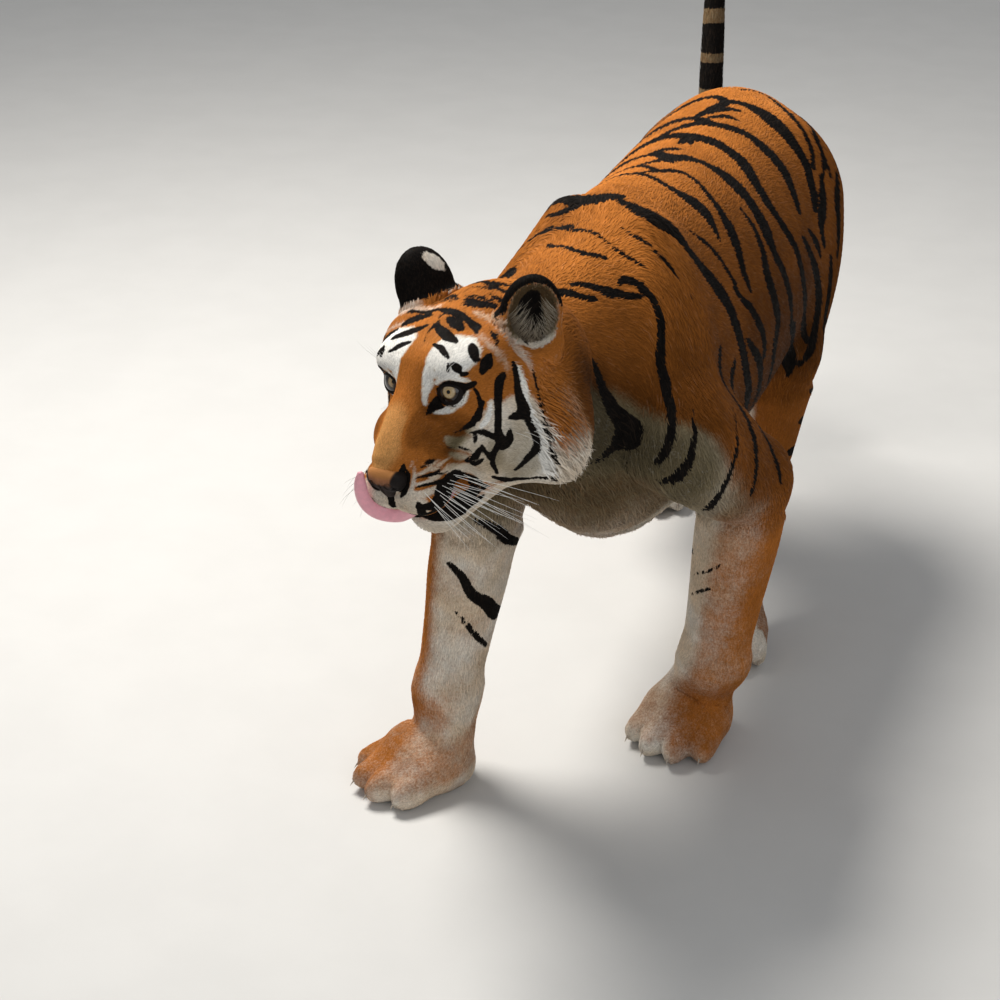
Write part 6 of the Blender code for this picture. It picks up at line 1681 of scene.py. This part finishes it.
# ------------------------------------------------------------------- whiskers
def hairs(name, items, mat, sides=5, n=12):
    """Thin tapering hairs: start, direction, droop direction, length, radius."""
    co, fur, faces = [], [], []
    for start, d, droop, length, radius in items:
        d = d / np.linalg.norm(d)
        a = np.cross(d, [0.31, 0.2, 0.93])
        a /= np.linalg.norm(a)
        b = np.cross(d, a)
        base = len(co)
        r1 = RNG.uniform()
        for i in range(n):
            t = i / (n - 1)
            c = start + d * length * t + droop * length * t * t
            r = radius * (1 - t) ** 0.8 + 0.00006
            for j in range(sides):
                th = 2 * math.pi * j / sides
                co.append(c + (a * math.cos(th) + b * math.sin(th)) * r)
                fur.append((t, r1, 0))
        for i in range(n - 1):
            for j in range(sides):
                k = base + i * sides + j
                k2 = base + i * sides + (j + 1) % sides
                faces.append((k, k2, k2 + sides, k + sides))
    obj = mesh_from(name, co, faces, mat)
    attribute(obj.data, "fur", "FLOAT_VECTOR", fur)
    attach(obj, "root")
    return obj


def surface_point(q, parts=None):
    p = HEAD.world(np.asarray(q, float))[None]
    return project(p, PARTS_ALL, 4, -0.004)[0]


items = []
for s in (1, -1):
    for r in range(4):
        for k in range(6):
            q = np.array([s * (0.045 + 0.004 * k + 0.002 * (r % 2)), -0.190 + 0.009 * k + 0.002 * r, -0.046 - 0.0075 * r - 0.001 * k])
            start = surface_point(q)
            d = HEAD.vec(np.array([s * (0.85 + 0.06 * k), -0.28 + 0.13 * k + RNG.uniform(-0.08, 0.08), -0.28 - 0.10 * r + RNG.uniform(-0.10, 0.10)]))
            droop = np.array([0, 0, -1.0]) * RNG.uniform(0.20, 0.42) + HEAD.vec(np.array([0, 0.30, 0]))
            items.append((start, d, droop, (0.058 + 0.010 * k) * RNG.uniform(0.8, 1.15), 0.00042))
    for k in range(5):
        q = np.array([s * (0.030 + 0.006 * k), -0.118 + 0.004 * k, 0.078 - 0.002 * k])
        start = surface_point(q)
        d = HEAD.vec(np.array([s * (0.25 + 0.12 * k), -0.35, 0.85]))
        items.append((start, d, HEAD.vec(np.array([s * 0.15, 0.30, -0.12])), RNG.uniform(0.028, 0.045), 0.00030))
    for k in range(3):
        q = np.array([s * (0.098 + 0.003 * k), -0.070 + 0.012 * k, -0.030 - 0.006 * k])
        items.append((surface_point(q), HEAD.vec(np.array([s * 0.9, 0.1, -0.1])), np.array([0, 0, -0.25]), RNG.uniform(0.028, 0.042), 0.00028))
hairs("whiskers", items, WHISKER_MAT)


# long hairs within the ears, from the front edge and the foot of the cup
items = []
for s, (shell, foot, cup) in EARS.items():
    for k in range(190):
        a = RNG.uniform(-1.9, 1.9)
        e = np.array([math.sin(a) * 0.030 * RNG.uniform(0.75, 1.05), -0.010, 0.030 - math.cos(a) * 0.034 * RNG.uniform(0.80, 1.05)])
        start = shell.frame.world(e)
        start = project(start[None], PARTS_ALL, 3, -0.003)[0]
        d = shell.frame.vec(np.array([-math.sin(a) * 0.75 + RNG.uniform(-0.25, 0.25), -0.55 + RNG.uniform(-0.2, 0.2), 0.75 + RNG.uniform(-0.3, 0.3)]))
        items.append((start, d, shell.frame.vec(np.array([0.0, 0.25, 0.15])), RNG.uniform(0.014, 0.036), 0.00028))
hairs("ear_hair", items, EARHAIR_MAT, sides=3, n=7)


# ---------------------------------------------------------------------- claws
def claws():
    """Hooked claw tips, half drawn into the toes."""
    co, fur, faces = [], [], []
    for leg, side, s in ((FL, 1, 1.15), (FR, -1, 1.15), (HL, 1, 1.05), (HR, -1, 1.05)):
        f = Frame((leg["paw"][0], leg["paw"][1], -0.0025), rot(leg["yaw"]))
        for x, y, r in ((0.0175, -0.074, 1.0), (-0.0175, -0.074, 1.0), (0.050, -0.054, 0.94), (-0.050, -0.054, 0.94)):
            t = rot(x * 200)
            c = np.array([x * s, y * s, 0.0265])
            base = len(co)
            n, m = 10, 10
            for i in range(n):
                u = i / (n - 1)
                centre = c + t @ np.array([0.0, -(0.024 + 0.0105 * u) * r * s, -0.002 - 0.010 * u * u])
                w = 0.0024 * (1 - u) ** 0.7 + 0.0001
                h = 0.0034 * (1 - u) ** 0.8 + 0.0001
                for j in range(m):
                    th = 2 * math.pi * j / m
                    co.append(f.world(centre + t @ np.array([math.cos(th) * w, 0, math.sin(th) * h])))
                    fur.append((u, 0.5, 0))
            for i in range(n - 1):
                for j in range(m):
                    k, k2 = base + i * m + j, base + i * m + (j + 1) % m
                    faces.append((k, k + m, k2 + m, k2))
    co = np.array(co)
    co[:, 2] = np.maximum(co[:, 2], 0.0005)
    obj = mesh_from("claws", co, faces, CLAW_MAT)
    attribute(obj.data, "fur", "FLOAT_VECTOR", fur)
    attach(obj, "root")


claws()


# --------------------------------------------------------------- studio, view
def plain(name, colour, rough):
    m = Nodes(name)
    pos = m.position()
    m.set(Base_Color=m.mix(m.ramp(m.noise(pos, 6, 4.0), 0.3, 0.7), colour, tuple(c * 0.97 for c in colour)), Roughness=rough)
    m.set(Normal=m.bump(m.noise(pos, 300, 3.0), 0.15, 0.0005))
    return m.mat


mesh = bpy.data.meshes.new("floor")
mesh.from_pydata([(-30, -30, 0), (30, -30, 0), (30, 30, 0), (-30, 30, 0)], [], [(0, 1, 2, 3)])
mesh.materials.append(plain("floor", (0.62, 0.61, 0.59), 0.8))
floor = bpy.data.objects.new("floor", mesh)
bpy.context.scene.collection.objects.link(floor)

world = bpy.data.worlds.new("studio")
bpy.context.scene.world = world
world.use_nodes = True
world.node_tree.nodes["Background"].inputs[0].default_value = (0.93, 0.96, 1.0, 1)
world.node_tree.nodes["Background"].inputs[1].default_value = 0.38


def area(name, place, target, size, power, colour=(1, 1, 1)):
    light = bpy.data.lights.new(name, "AREA")
    light.shape = "DISK"
    light.size = size
    light.energy = power
    light.color = colour
    obj = bpy.data.objects.new(name, light)
    bpy.context.scene.collection.objects.link(obj)
    obj.location = Vector(place)
    obj.rotation_mode = "QUATERNION"
    obj.rotation_quaternion = (Vector(target) - Vector(place)).to_track_quat("-Z", "Y")


area("key", (-1.3, 0.5, 3.4), (0.0, 0.0, 0.5), 1.5, 165, (1.0, 0.97, 0.92))
area("fill", (1.8, -3.4, 2.0), (0.0, 0.0, 0.5), 2.4, 26, (0.95, 0.98, 1.0))

cam = bpy.data.cameras.new("camera")
cam.sensor_width = 36
cam.lens = 79.2
cam.clip_end = 100
camera = bpy.data.objects.new("camera", cam)
bpy.context.scene.collection.objects.link(camera)
m = Matrix([list(CAM_RIGHT), list(CAM_UP), list(CAM_BACK)]).transposed().to_4x4()
m.translation = Vector(CAM_LOC - SHIFT)
camera.matrix_world = m
bpy.context.scene.camera = camera
bpy.context.scene.view_settings.view_transform = "Standard"

# skin: from the tables' frame to the part's, last of all
set_coords(skin.data, P - SHIFT)
